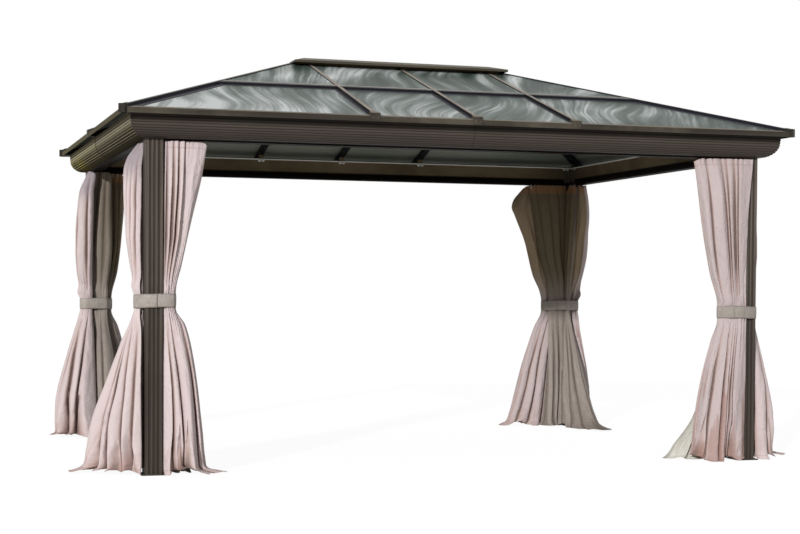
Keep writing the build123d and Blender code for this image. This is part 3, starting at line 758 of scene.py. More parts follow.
def repeatAlong(name, lines, sizes, part, finish):
    # instances of part() along guide lines, turned to each line's facing
    tree = bpy.data.node_groups.new(name, "GeometryNodeTree")
    tree.interface.new_socket("Guide", in_out="INPUT", socket_type="NodeSocketGeometry")
    identifiers = {}
    for label in sizes:
        made = tree.interface.new_socket(label, in_out="INPUT", socket_type="NodeSocketFloat")
        identifiers[label] = made.identifier
    tree.interface.new_socket("Mesh", in_out="OUTPUT", socket_type="NodeSocketGeometry")
    board = Board(tree)
    inputs = tree.nodes.new("NodeGroupInput")
    given = {label: Wire(board, inputs.outputs[label]) for label in identifiers}
    curve = board.node("GeometryNodeMeshToCurve", None, {0: Wire(board, inputs.outputs["Guide"])})
    dotted = board.node(
        "GeometryNodeResampleCurve", {"mode": "LENGTH"}, {"Curve": curve, "Length": given["Spacing"]}
    )
    way = board.node("GeometryNodeInputNamedAttribute", {"data_type": "FLOAT_VECTOR"}, {"Name": "facing"})
    turn = board.node("FunctionNodeAlignRotationToVector", {"axis": "Z"}, {"Vector": way})
    jitter = board.node(
        "FunctionNodeRandomValue", {"data_type": "FLOAT"}, {2: -1.0, 3: 1.0, "Seed": 7}, output=1
    )
    spin = board.join(0.0, 0.0, jitter * given["Jitter"])
    turned = board.node("FunctionNodeRotateRotation", {"rotation_space": "LOCAL"}, {0: turn, 1: spin})
    placed = board.node("GeometryNodeInstanceOnPoints", None, {
        "Points": dotted, "Instance": part(board, given), "Rotation": turned,
    })
    real = board.node("GeometryNodeRealizeInstances", None, {0: placed})
    shaded = board.node("GeometryNodeSetMaterial", None, {"Geometry": real, "Material": finishes[finish]})
    outputs = tree.nodes.new("NodeGroupOutput")
    tree.links.new(shaded.socket, outputs.inputs[0])
    guide = guideMesh(name, lines)
    grown = guide.modifiers.new(name, "NODES")
    grown.node_group = tree
    for label, value in sizes.items():
        grown[identifiers[label]] = value
    view = bpy.context.evaluated_depsgraph_get()
    plain = bpy.data.meshes.new_from_object(guide.evaluated_get(view))
    guide.modifiers.remove(grown)
    guide.data = plain
    guide.data.name = name
    for face in plain.polygons:
        face.use_smooth = False
    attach(guide, "root")


def drum(board, radius, depth, lift, corners=12, top=None):
    # a short cylinder or cone standing on the surface
    cone = board.node("GeometryNodeMeshCone", None, {
        "Vertices": corners, "Radius Top": radius if top is None else top,
        "Radius Bottom": radius, "Depth": depth,
    })
    raised = board.join(0.0, 0.0, lift)
    return board.node("GeometryNodeTransform", None, {"Geometry": cone, "Translation": raised})


def union(board, *parts):
    whole = board.tree.nodes.new("GeometryNodeJoinGeometry")
    for part in reversed(parts):
        board.tree.links.new(part.socket, whole.inputs[0])
    return Wire(board, whole.outputs[0])


def panHead(board, given):
    radius, rise = given["Radius"], given["Rise"]
    washer = drum(board, radius * 1.35, rise * 0.25, 0.0, 14)
    head = drum(board, radius, rise, rise * 0.25, 12, radius * 0.78)
    drive = drum(board, radius * 0.34, rise * 0.12, rise * 1.25, 6)
    return union(board, washer, head, drive)


def hexBolt(board, given):
    radius, rise = given["Radius"], given["Rise"]
    washer = drum(board, radius * 1.45, rise * 0.18, 0.0, 16)
    head = drum(board, radius, rise * 0.7, rise * 0.18, 6)
    dome = drum(board, radius * 0.86, rise * 0.12, rise * 0.88, 12, radius * 0.6)
    stud = drum(board, radius * 0.5, rise * 0.6, rise * 0.9, 10)
    return union(board, washer, head, dome, stud)


roofScrews = {"Spacing": 0.30, "Radius": 0.0042, "Rise": 0.0030, "Jitter": 0.5}
capScrews = {"Spacing": 0.034, "Radius": 0.0038, "Rise": 0.0026, "Jitter": 0.5}
footBolts = {"Spacing": 0.040, "Radius": 0.0085, "Rise": 0.010, "Jitter": 0.5}
bracketBolts = {"Spacing": 0.030, "Radius": 0.0100, "Rise": 0.013, "Jitter": 0.5}
# where screws and bolts lie, in metres from the lines and edges that they keep to
spots = {
    "barFoot": 0.075, "barHead": 0.03, "besideBar": 0.06,
    "ridgeInset": 0.035, "ridgeEnd": 0.10, "ridgeFall": 0.036,  # the cap's fall from middle to edge
    "plateProud": 0.004, "plateDrop": 0.006, "platePair": 0.017,
    "footNear": 0.070, "footFar": 0.112,
    "beamWall": 0.040, "ledgeDrop": 0.011, "bracketPair": 0.015, "cornerInset": 0.055,
}


def roofScrewLines():
    # along the purlins between the bars, and down the bars of the lower tier
    lines = []
    for side, slope in sides.items():
        facing = slopeFacing(side)
        cover = slope["line"] - roof["brow"] * 0.2
        half = hipAlong(side, purlinY) if slope["long"] else purlinY
        stops = [-half + spots["besideBar"], *slope["rafters"], half - spots["besideBar"]]
        for near, far in zip(stops, stops[1:]):
            ends = (near + spots["besideBar"], far - spots["besideBar"])
            lines.append((*[onSlope(side, end, cover, roof["step"] + roof["strip"]) for end in ends], facing))
        for place in slope["rafters"]:
            ends = (slope["edge"] - spots["barFoot"], slope["line"] + roof["brow"] + spots["barHead"])
            lines.append((*[onSlope(side, place, end, roof["crest"]) for end in ends], facing))
    return lines


def ridgeScrewLines():
    half = ridgeHalf - spots["ridgeEnd"]
    tilt = math.atan2(spots["ridgeFall"], capHigh.y)
    lines = []
    for way in (-1, 1):
        y = way * (capHigh.y - spots["ridgeInset"])
        z = capHigh.z - math.tan(tilt) * abs(y)
        facing = Vector((0.0, way * math.sin(tilt), math.cos(tilt)))
        lines.append((Vector((-half, y, z)), Vector((half, y, z)), facing))
    return lines


def capScrewLines():
    # two screws in the front plate of each bar end cap
    lines = []
    for slope in sides.values():
        out = slope["edge"] + spots["plateProud"]
        for place in slope["rafters"]:
            pair = [(place + way * spots["platePair"], -out, eaveZ - spots["plateDrop"]) for way in (-1, 1)]
            lines.append([slope["turn"] @ Vector(point) for point in (*pair, (0.0, -1.0, 0.0))])
    return lines


def footBoltLines():
    near, far = spots["footNear"], spots["footFar"]
    plateTop = postLow.z
    lines = []
    for wayX in (-1, 1):
        for wayY in (-1, 1):
            ends = [
                Vector((wayX * (halfX - inX), wayY * (halfY - inY), plateTop))
                for inX, inY in ((near, far), (far, near))
            ]
            lines.append((*ends, Vector((0.0, 0.0, 1.0))))
    return lines


def bracketBoltLines():
    # bright bolts through the top inner edge of the beams, at each rafter foot and near the corners
    lines = []
    level = ledgeTop - spots["ledgeDrop"]
    for slope in sides.values():
        out = slope["post"] - spots["beamWall"]
        half = slope["postAcross"] - spots["beamWall"] - spots["cornerInset"]
        pairs = [(place - spots["bracketPair"], place + spots["bracketPair"]) for place in slope["rafters"]]
        pairs += [
            (way * (half - spots["bracketPair"]), way * (half + spots["bracketPair"])) for way in (-1, 1)
        ]
        for pair in pairs:
            ends = [(place, -out, level) for place in pair]
            lines.append([slope["turn"] @ Vector(point) for point in (*ends, (0.0, 1.0, 0.0))])
    return lines


repeatAlong("roof_screws", roofScrewLines(), roofScrews, panHead, "screw")
repeatAlong("ridge_screws", ridgeScrewLines(), roofScrews, panHead, "screw")
repeatAlong("cap_screws", capScrewLines(), capScrews, panHead, "screw")
repeatAlong("foot_bolts", footBoltLines(), footBolts, hexBolt, "screw")
repeatAlong("bracket_bolts", bracketBoltLines(), bracketBolts, hexBolt, "bolt")
print("screws and bolts")


# Meshes made point by point

def meshPiece(name, points, faces, finish, smooth=True):
    made = bpy.data.meshes.new(name)
    made.from_pydata([tuple(map(float, point)) for point in points], [], faces)
    made.materials.append(finishes[finish])
    for face in made.polygons:
        face.use_smooth = smooth
    piece = bpy.data.objects.new(name, made)
    sceneNow.collection.objects.link(piece)
    return piece


def prismAlong(start, end, across, up, section):
    # corners and faces of a bar of a closed section between two points
    points = [base + across * a + up * b for base in (start, end) for a, b in section]
    count = len(section)
    faces = [
        (k, (k + 1) % count, count + (k + 1) % count, count + k) for k in range(count)
    ]
    faces.append(tuple(range(count))[::-1])
    faces.append(tuple(range(count, 2 * count)))
    return points, faces


shadowBeads = {
    "width": 0.016, "rise": 0.003, "chamfer": 0.004, "brow": 0.030, "hip": 0.034,
    "foot": 0.036, "head": 0.004,  # from the eave, and from the brow
    "hipFoot": 0.050, "hipHead": 0.006, "hipSide": 0.012,
    "skewShade": 1.35,  # the hips run askew to their slopes, so a bead beside one lies further off
}


def shadowBeadLines(side):
    # (start, end, width) of the near-black beads of painted shadow along the bars of the lower tier, under
    # its brow and hips
    slope = sides[side]
    brow = slope["line"] + roof["brow"]
    lines = []
    for place in slope["rafters"]:
        for way in (-1, 1):
            along = place + way * (roof["stripHalf"] + shadowBeads["width"] / 2)
            foot, head = slope["edge"] - shadowBeads["foot"], brow + shadowBeads["head"]
            lines.append(((along, foot), (along, head), shadowBeads["width"]))
    under = brow + shadowBeads["brow"] / 2
    half = hipAlong(side, under) - roof["hipStripHalf"] - shadowBeads["hipSide"]
    lines.append(((-half, under), (half, under), shadowBeads["brow"]))
    shift = (roof["hipStripHalf"] + shadowBeads["hip"] / 2) * shadowBeads["skewShade"]
    for way in (-1, 1):
        outs = (slope["edge"] - shadowBeads["hipFoot"], brow + shadowBeads["hipHead"])
        lines.append((*[(way * (hipAlong(side, out) - shift), out) for out in outs], shadowBeads["hip"]))
    return lines


def shadowBeadPiece():
    points = []
    faces = []
    for side in sides:
        up = slopeFacing(side)
        for start, end, width in shadowBeadLines(side):
            half, top = width / 2, width / 2 - shadowBeads["chamfer"]
            section = [(-half, 0.0), (half, 0.0), (top, shadowBeads["rise"]), (-top, shadowBeads["rise"])]
            near, far = onSlope(side, *start), onSlope(side, *end)
            beadPoints, beadFaces = prismAlong(near, far, up.cross(far - near).normalized(), up, section)
            faces += [tuple(len(points) + corner for corner in face) for face in beadFaces]
            points += beadPoints
    piece = meshPiece("sheet_seals", points, faces, "shadowBead", smooth=False)
    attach(piece, "root")


shadowBeadPiece()
print("shadowBeads")


# Curtains and nets. Everything is seen from above, in millimetres from the post's outer corner:
# along the side first, and inward from the outer face second. The cloth goes to and fro between
# its root beside the post and its leading edge, so many layers lie in one bundle. The root, the
# edge and a middle that pulls the run between them are given by height in metres. Folds are
# (width, depth) pairs from the root to the edge, over and under the tie.

corners = {
    "front_left": (-1, -1), "front_right": (1, -1), "rear_left": (-1, 1), "rear_right": (1, 1),
}
ties = {"front_left": 1.078, "front_right": 1.018, "rear_left": 1.036, "rear_right": 1.036}
tieHeight = 0.084

evenFolds = {
    "below": [(0.8, 0.8), (1.2, 1.2), (0.8, 0.9), (0.9, 1.0)],
    "above": [(0.6, 0.8), (0.6, 1.0), (0.9, 0.9), (1.0, 0.7)],
}
netFolds = {
    "below": [(1.0, 1.0), (0.8, 1.3), (1.1, 0.9), (0.9, 1.1)],
    "above": [(0.7, 1.0), (0.9, 0.9), (0.8, 1.0), (0.8, 0.8)],
}
hangings = {
    "curtain_front_left": {
        "root": {0: (116, 22), 2.07: (118, 34)},
        "middle": {
            0: (240, 22), 0.55: (215, 24), 1.03: (155, 22), 1.13: (155, 22), 1.5: (215, 22), 2.07: (250, 34),
        },
        "edge": {
            0: (530, 80), 0.06: (392, 30), 0.28: (366, 22), 0.55: (335, 22), 0.8: (292, 22), 0.93: (255, 24),
            1.03: (194, 26), 1.13: (192, 26), 1.3: (230, 26), 1.6: (296, 28), 1.88: (362, 34),
            2.07: (390, 34),
        },
        "below": [(0.55, 0.6), (0.75, 1.0), (1.15, 1.1), (0.45, 0.7)],
        "above": [(0.26, 0.6), (0.42, 0.9), (0.42, 1.0), (0.5, 0.7), (1.7, 0.30)],
    },
    "curtain_left_front": {
        "root": {
            0: (16, -5), 0.6: (24, -4), 1.03: (60, -6), 1.13: (60, -6), 1.5: (80, -4), 1.9: (104, 10),
            2.07: (118, 34),
        },
        "middle": {
            0: (150, -240), 0.28: (150, -218), 0.55: (150, -156), 0.82: (140, -86), 1.03: (130, -12),
            1.13: (130, -14), 1.5: (190, -34), 1.9: (230, -54), 1.98: (240, -30), 2.07: (240, 34),
        },
        "edge": {
            0: (360, -320), 0.06: (320, -225), 0.28: (310, -205), 0.55: (285, -130), 0.82: (240, -60),
            1.03: (190, 2), 1.13: (190, 0), 1.5: (290, -20), 1.9: (345, -44), 1.98: (360, -30),
            2.07: (370, 34),
        },
        "below": [(0.30, 0.6), (0.36, 0.9), (0.48, 1.1), (0.75, 1.3), (0.9, 1.2)],
        "above": [(0.30, 0.6), (0.35, 0.8), (0.40, 1.0), (0.6, 1.0), (0.9, 0.8)],
    },
    "curtain_front_right": {
        "root": {0: (86, -14), 1.0: (84, -14), 1.3: (88, -14), 1.6: (80, -14), 2.07: (42, -12)},
        "middle": {
            0: (260, 6), 0.55: (240, 10), 0.97: (180, 4), 1.07: (180, 4), 1.5: (235, 2), 2.07: (290, 34),
        },
        "edge": {
            0: (480, 40), 0.06: (465, 30), 0.28: (448, 24), 0.55: (405, 24), 0.82: (332, 24), 0.97: (284, 24),
            1.07: (286, 24), 1.3: (345, 26), 1.6: (402, 28), 1.88: (440, 34), 2.07: (470, 34),
        },
        "below": [(1.7, 0.35), (0.42, 0.9), (0.36, 1.0), (0.42, 1.1), (1.0, 0.9), (0.9, 0.7)],
        "above": [(1.1, 0.35), (0.36, 0.8), (0.36, 0.9), (0.36, 0.8), (1.2, 0.9), (0.8, 0.8)],
    },
    "curtain_right_front": {
        "root": {0: (16, -5), 0.6: (24, -4), 0.97: (80, -6), 1.07: (80, -6), 1.5: (100, -4), 2.07: (118, 34)},
        "middle": {
            0: (110, -150), 0.28: (110, -105), 0.55: (110, -72), 0.82: (120, -40), 0.97: (130, -12),
            1.07: (130, -12), 1.5: (190, -18), 1.9: (230, -18), 2.07: (240, 34),
        },
        "edge": {
            0: (345, -335), 0.06: (300, -185), 0.28: (300, -114), 0.55: (280, -74), 0.82: (240, -34),
            0.97: (190, 4), 1.07: (190, 4), 1.5: (290, -10), 1.9: (345, -10), 2.07: (370, 34),
        },
        "below": [(1.0, 0.7), (1.2, 1.2), (0.8, 0.9), (0.9, 1.0)],
        "above": evenFolds["above"],
    },
    "curtain_rear_right": {
        "root": {0: (180, 60), 0.98: (160, 60), 1.09: (160, 60), 2.07: (118, 34)},
        "middle": {
            0: (400, 30), 0.55: (330, 40), 0.98: (240, 60), 1.09: (240, 60), 1.5: (290, 40), 2.07: (320, 34),
        },
        "edge": {
            0: (700, 60), 0.06: (650, 100), 0.3: (568, 105), 0.6: (486, 105), 0.86: (400, 110),
            0.98: (340, 112), 1.09: (340, 112), 1.3: (430, 115), 1.58: (508, 120), 1.80: (596, 118),
            1.87: (622, 110), 1.93: (600, 84), 2.0: (540, 50), 2.07: (480, 34),
        },
        "below": [(0.8, 0.8), (0.8, 1.0), (1.0, 1.2), (1.0, 0.9), (0.8, 0.9)],
        "above": [(0.8, 0.8), (0.6, 0.9), (1.0, 0.8), (1.4, 0.5)],
    },
    "curtain_right_rear": {
        "root": {0: (116, 20), 0.98: (116, 30), 1.09: (116, 30), 2.07: (118, 34)},
        "middle": {
            0: (240, 40), 0.55: (170, 46), 0.98: (122, 50), 1.09: (122, 50), 1.5: (190, 10), 2.07: (220, 34),
        },
        "edge": {
            0: (380, 40), 0.06: (340, 40), 0.3: (270, 46), 0.6: (190, 56), 0.86: (140, 60), 0.98: (130, 60),
            1.09: (130, 60), 1.3: (215, 34), 1.58: (270, 24), 1.82: (335, 20), 1.95: (320, 24),
            2.07: (285, 34),
        },
        **evenFolds,
    },
    "curtain_rear_left": {
        "root": {0: (116, 24), 2.07: (118, 34)},
        "middle": {
            0: (240, 0), 0.55: (210, 14), 0.98: (150, 24), 1.09: (150, 24), 1.5: (200, 24), 2.07: (220, 34),
        },
        "edge": {
            0: (470, 20), 0.06: (420, 30), 0.3: (380, 34), 0.6: (325, 34), 0.86: (255, 34), 0.98: (202, 34),
            1.09: (204, 34), 1.3: (252, 34), 1.6: (286, 34), 1.88: (304, 34), 2.07: (304, 34),
        },
        **evenFolds,
    },
    "curtain_left_rear": {
        "root": {
            0: (60, -6), 0.6: (80, -6), 0.98: (100, -8), 1.09: (100, -8), 1.5: (110, -6), 1.9: (116, 0),
            2.07: (118, 34),
        },
        "middle": {
            0: (500, -500), 0.05: (470, -405), 0.28: (445, -375), 0.55: (385, -252), 0.82: (300, -132),
            0.98: (225, -50), 1.09: (225, -50), 1.3: (290, -84), 1.6: (330, -76), 1.9: (350, -56),
            2.0: (350, -10), 2.07: (330, 20),
        },
        "edge": {
            0: (430, 66), 0.06: (415, 50), 0.28: (400, 40), 0.55: (345, 36), 0.82: (280, 34), 0.98: (212, 30),
            1.09: (212, 30), 1.3: (265, 22), 1.6: (305, 20), 1.9: (330, 26), 2.07: (330, 44),
        },
        "below": [(0.8, 0.8), (0.9, 1.0), (0.7, 1.1), (0.8, 1.0), (0.7, 0.8)],
        "above": [(0.8, 0.8), (0.6, 0.9), (0.9, 0.8), (0.7, 0.6)],
    },
    "net_front_right_long": {
        "root": {0: (180, 112), 0.98: (136, 112), 1.12: (136, 112), 2.07: (150, 82)},
        "middle": {
            0: (300, 150), 0.55: (220, 130), 0.98: (155, 122), 1.12: (155, 122), 1.5: (215, 112),
            2.07: (270, 82),
        },
        "edge": {
            0: (590, 210), 0.06: (545, 200), 0.28: (390, 170), 0.55: (300, 140), 0.98: (184, 120),
            1.12: (184, 120), 1.5: (280, 112), 1.88: (350, 96), 2.07: (380, 82),
        },
    },
    "net": {
        "root": {0: (120, 116), 0.98: (110, 112), 1.12: (110, 112), 2.07: (118, 82)},
        "middle": {
            0: (240, 130), 0.55: (200, 124), 0.98: (155, 122), 1.12: (155, 122), 1.5: (215, 112),
            2.07: (250, 82),
        },
        "edge": {
            0: (400, 170), 0.06: (350, 160), 0.55: (270, 130), 0.98: (180, 120), 1.12: (180, 120),
            1.5: (260, 112), 1.88: (330, 96), 2.07: (350, 82),
        },
    },
    "net_rear_right_long": {
        "root": {
            0: (90, 140), 0.98: (92, 128), 1.09: (92, 128), 1.5: (92, 126), 1.9: (92, 120), 2.07: (116, 82),
        },
        "middle": {
            0: (240, 190), 0.55: (220, 170), 0.98: (205, 150), 1.09: (205, 150), 1.5: (280, 130),
            2.07: (300, 82),
        },
        "edge": {
            0: (360, 260), 0.06: (350, 240), 0.55: (310, 200), 0.98: (290, 150), 1.09: (290, 150),
            1.5: (390, 130), 1.88: (440, 110), 2.07: (450, 82),
        },
    },
    "net_rear_right_short": {
        "root": {
            0: (150, 240), 0.55: (130, 190), 0.98: (100, 128), 1.09: (100, 128), 1.5: (94, 126),
            1.9: (92, 120), 2.07: (116, 82),
        },
        "middle": {
            0: (330, 120), 0.55: (230, 120), 0.98: (165, 130), 1.09: (165, 130), 1.5: (200, 120),
            2.07: (200, 82),
        },
        "edge": {
            0: (830, 60), 0.06: (640, 60), 0.3: (460, 70), 0.6: (310, 80), 0.86: (215, 100), 0.98: (190, 120),
            1.09: (190, 120), 1.5: (230, 110), 1.88: (250, 100), 2.07: (250, 82),
        },
    },
    "net_rear_left_long": {
        "root": {
            0: (90, 140), 0.98: (92, 124), 1.09: (92, 124), 1.5: (92, 122), 1.9: (92, 118), 2.07: (116, 82),
        },
        "middle": {
            0: (240, 150), 0.55: (210, 140), 0.98: (160, 124), 1.09: (160, 124), 1.5: (210, 120),
            2.07: (220, 82),
        },
        "edge": {
            0: (420, 160), 0.06: (400, 160), 0.3: (370, 150), 0.6: (300, 140), 0.86: (225, 124),
            0.98: (190, 122), 1.09: (190, 122), 1.3: (235, 120), 1.6: (265, 116), 1.88: (285, 100),
            2.07: (290, 82),
        },
    },
    "net_rear_left_short": {
        "root": {
            0: (150, 20), 0.6: (136, 20), 0.98: (124, 30), 1.09: (124, 30), 1.5: (126, 30), 2.07: (126, 66),
        },
        "middle": {
            0: (430, 10), 0.3: (410, 10), 0.6: (340, 20), 0.98: (200, 50), 1.09: (200, 50), 1.5: (270, 40),
            2.07: (290, 76),
        },
        "edge": {
            0: (400, 250), 0.3: (360, 225), 0.6: (300, 195), 0.98: (196, 150), 1.09: (196, 150),
            1.5: (250, 180), 2.07: (220, 170),
        },
    },
}
cuts = {
    # columns of points in each hidden pleat, on the outer face, round the leading edge and on the
    # inner face, then rows, metres of drop and of fold, and half the bundle's thickness in
    # millimetres by height, of which the leading edge keeps the share "tip"
    "curtain": {
        "pleats": 6, "hidden": 6, "outside": 104, "turn": 12, "inside": 76, "rows": 140,
        "length": 2.13, "fold": 0.068, "crumple": 1.0, "wedges": 5, "tip": 0.30,
        "half": {0: 44, 0.5: 40, 0.98: 30, 1.12: 30, 1.5: 36, 1.9: 30, 2.07: 19},
    },
    "net": {
        "pleats": 4, "hidden": 6, "outside": 56, "turn": 8, "inside": 64, "rows": 110,
        "length": 2.10, "fold": 0.040, "crumple": 0.8, "wedges": 1, "tip": 0.45,
        "half": {0: 30, 0.5: 24, 0.98: 14, 1.12: 14, 1.5: 18, 1.9: 14, 2.07: 8},
    },
}
drape = {
    # depths in metres
    "headGap": 0.002,  # between the cloth and the rail over it
    "openOver": 0.35, "openUnder": 0.65,  # metres from the tie to where the folds are fully open
    "overShare": 0.62,  # the folds over the tie open only so far
    "calmFrom": 1.70, "calm": 0.60,  # from this height to the rail the folds calm down, by this share
    "stray": 0.005, "wedge": 0.044, "pinch": 0.013, "liningPinch": 0.006, "pleat": 0.014,
    "belly": 0.013, "waist": 0.006,  # over and under the tie
    "broad": 0.0095, "broken": 0.004, "brokenFoot": 0.018, "fine": 0.0015, "fineFoot": 0.004,
    "spill": 0.10, "spread": 0.030, "spreadSway": 0.020,  # where the hem breaks on the ground
    "hemRise": 0.005, "hemSway": 0.014, "wedgeRise": 0.030, "hem": 0.045,
    "droop": 0.020, "pleatDroop": 0.004,  # of the heading between its hooks
}


def smoothNoise(rng, rows, columns, t, s):
    # a smooth random field over the cloth, about -1 to 1, from a coarse grid of values
    grid = rng.uniform(-1.0, 1.0, (rows + 4, columns + 4))
    y, x = t * rows, s * columns
    iy, ix = np.floor(y).astype(int), np.floor(x).astype(int)

    def cubic(f):
        return [(1 - f) ** 3, 3 * f**3 - 6 * f**2 + 4, -3 * f**3 + 3 * f**2 + 3 * f + 1, f**3]

    total = np.zeros_like(x)
    for row, heavy in enumerate(cubic(y - iy)):
        for column, light in enumerate(cubic(x - ix)):
            total += heavy * light * grid[iy + row, ix + column]
    return total * (1.7 / 36)


def smoothRow(table, pick, places):
    # a smooth curve through the values of a table by height, with no overshoot
    knots = np.array(sorted(table), float)
    values = np.array([pick(table[knot]) for knot in sorted(table)], float)
    steps = np.diff(knots)
    slopes = np.diff(values) / steps
    tangents = np.zeros_like(values)
    for k in range(1, len(values) - 1):
        if slopes[k - 1] * slopes[k] > 0:
            tangents[k] = 2 * slopes[k - 1] * slopes[k] / (slopes[k - 1] + slopes[k])
    tangents[0], tangents[-1] = slopes[0], slopes[-1]
    k = np.clip(np.searchsorted(knots, places) - 1, 0, len(steps) - 1)
    f = np.clip((places - knots[k]) / steps[k], 0, 1)
    return (
        (2 * f**3 - 3 * f**2 + 1) * values[k] + (f**3 - 2 * f**2 + f) * steps[k] * tangents[k]
        + (-2 * f**3 + 3 * f**2) * values[k + 1] + (f**3 - f**2) * steps[k] * tangents[k + 1]
    )


def foldField(folds, q, reach, rng, t):
    # lobes that lean to one side, how near each place is to the valley between two, and the lean
    widths, depths = np.array(folds).T
    bounds = np.concatenate([[0.0], np.cumsum(widths)]) / widths.sum()
    narrow = np.minimum(widths[:-1], widths[1:]) / widths.sum()
    valleys = [
        bound + 0.32 * wide * smoothNoise(rng, 3, 1, t, np.zeros_like(t))
        for bound, wide in zip(bounds[1:-1], narrow)
    ]
    lines = np.stack([np.zeros_like(q), *valleys, np.ones_like(q)])
    lobe = np.clip(sum((q > valley).astype(int) for valley in valleys), 0, len(folds) - 1)
    left = np.take_along_axis(lines, lobe[None], axis=0)[0]
    right = np.take_along_axis(lines, lobe[None] + 1, axis=0)[0]
    local = np.clip((q - left) / np.maximum(right - left, 1e-4), 0, 1)
    leans = rng.uniform(-0.9, 0.9, len(folds))[lobe]
    peak = 0.5 + 0.27 * leans
    warped = np.where(local < peak, 0.5 * local / peak, 0.5 + 0.5 * (local - peak) / (1 - peak))
    ridge = np.sin(np.pi * warped) ** 0.62
    lively = np.clip(0.85 + 0.4 * smoothNoise(rng, 4, len(folds) + 2, t, q), 0.25, 1.5)
    near = np.min([np.abs(q - valley) for valley in valleys], axis=0) * reach
    return ridge * depths[lobe] * lively, np.exp(-((near / 0.0095) ** 2)), leans


def soften(field, times):
    for _ in range(times):
        wide = np.pad(field, ((0, 0), (1, 1)), mode="edge")
        tall = np.pad((wide[:, :-2] + 2 * field + wide[:, 2:]) / 4, ((1, 1), (0, 0)), mode="edge")
        field = (tall[:-2] + 2 * tall[1:-1] + tall[2:]) / 4
    return field


def clothRun(cut):
    # the way of the cloth seen from above: pleats hidden inside, then the outer face from the root
    # to the leading edge (q from 0 to 1), round it, and the inner face back (inner from 0 to 1)
    pleats = cut["pleats"]
    run = np.linspace(0, pleats, pleats * cut["hidden"], endpoint=False)
    q = np.concatenate([
        0.04 + 0.74 * np.arccos(0.98 * np.cos(np.pi * run)) / np.pi,
        np.linspace(0, 1, cut["outside"], endpoint=False), np.ones(cut["turn"]),
        np.linspace(1, 0, cut["inside"]),
    ])
    inner = np.concatenate([
        0.85 - 0.70 * run / pleats, np.zeros(cut["outside"]),
        np.linspace(0, 1, cut["turn"], endpoint=False), np.ones(cut["inside"]),
    ])
    s = np.concatenate([[0.0], np.cumsum(np.hypot(np.diff(q) * 0.30, np.diff(inner) * 0.08) + 1e-4)])
    hidden = np.arange(len(q)) < len(run)
    turning = (q == 1.0) & ~hidden
    s, t = np.meshgrid(s / s[-1], np.linspace(0, 1, cut["rows"]))
    return [np.broadcast_to(part, s.shape) for part in (q, inner, hidden, turning, s, t)]


def bundleRun(shape, q, z):
    # the middle line of the bundle at each point, its direction there, and how far it reaches
    way = {
        key + axis: smoothRow(shape[key], lambda pair: pair[number] / 1000, z)
        for key in ("root", "middle", "edge") for number, axis in enumerate("uv")
    }
    u, v = (
        (1 - q) ** 2 * way["root" + axis] + 2 * q * (1 - q) * way["middle" + axis] + q**2 * way["edge" + axis]
        for axis in "uv"
    )
    du, dv = (
        (1 - q) * (way["middle" + axis] - way["root" + axis])
        + q * (way["edge" + axis] - way["middle" + axis])
        for axis in "uv"
    )
    size = np.hypot(du, dv) + 1e-9
    reach = np.hypot(way["edgeu"] - way["rootu"], way["edgev"] - way["rootv"])
    return u, v, du / size, dv / size, reach


def hemWedges(count, q, z, rng):
    # wedges that open towards the hem
    wedge = np.zeros_like(q)
    for _ in range(count):
        place, start, wide = rng.uniform(0.10, 0.92), rng.uniform(0.14, 0.40), rng.uniform(0.070, 0.150)
        deep = np.clip((start - z) / start, 0, 1)
        middle = place + 0.10 * rng.uniform(-1, 1) * deep
        opened = np.clip(1.25 - np.abs(q - middle) / (wide * deep + 1e-4), 0, 1)
        wedge = np.maximum(wedge, opened * deep**0.6)
    return wedge


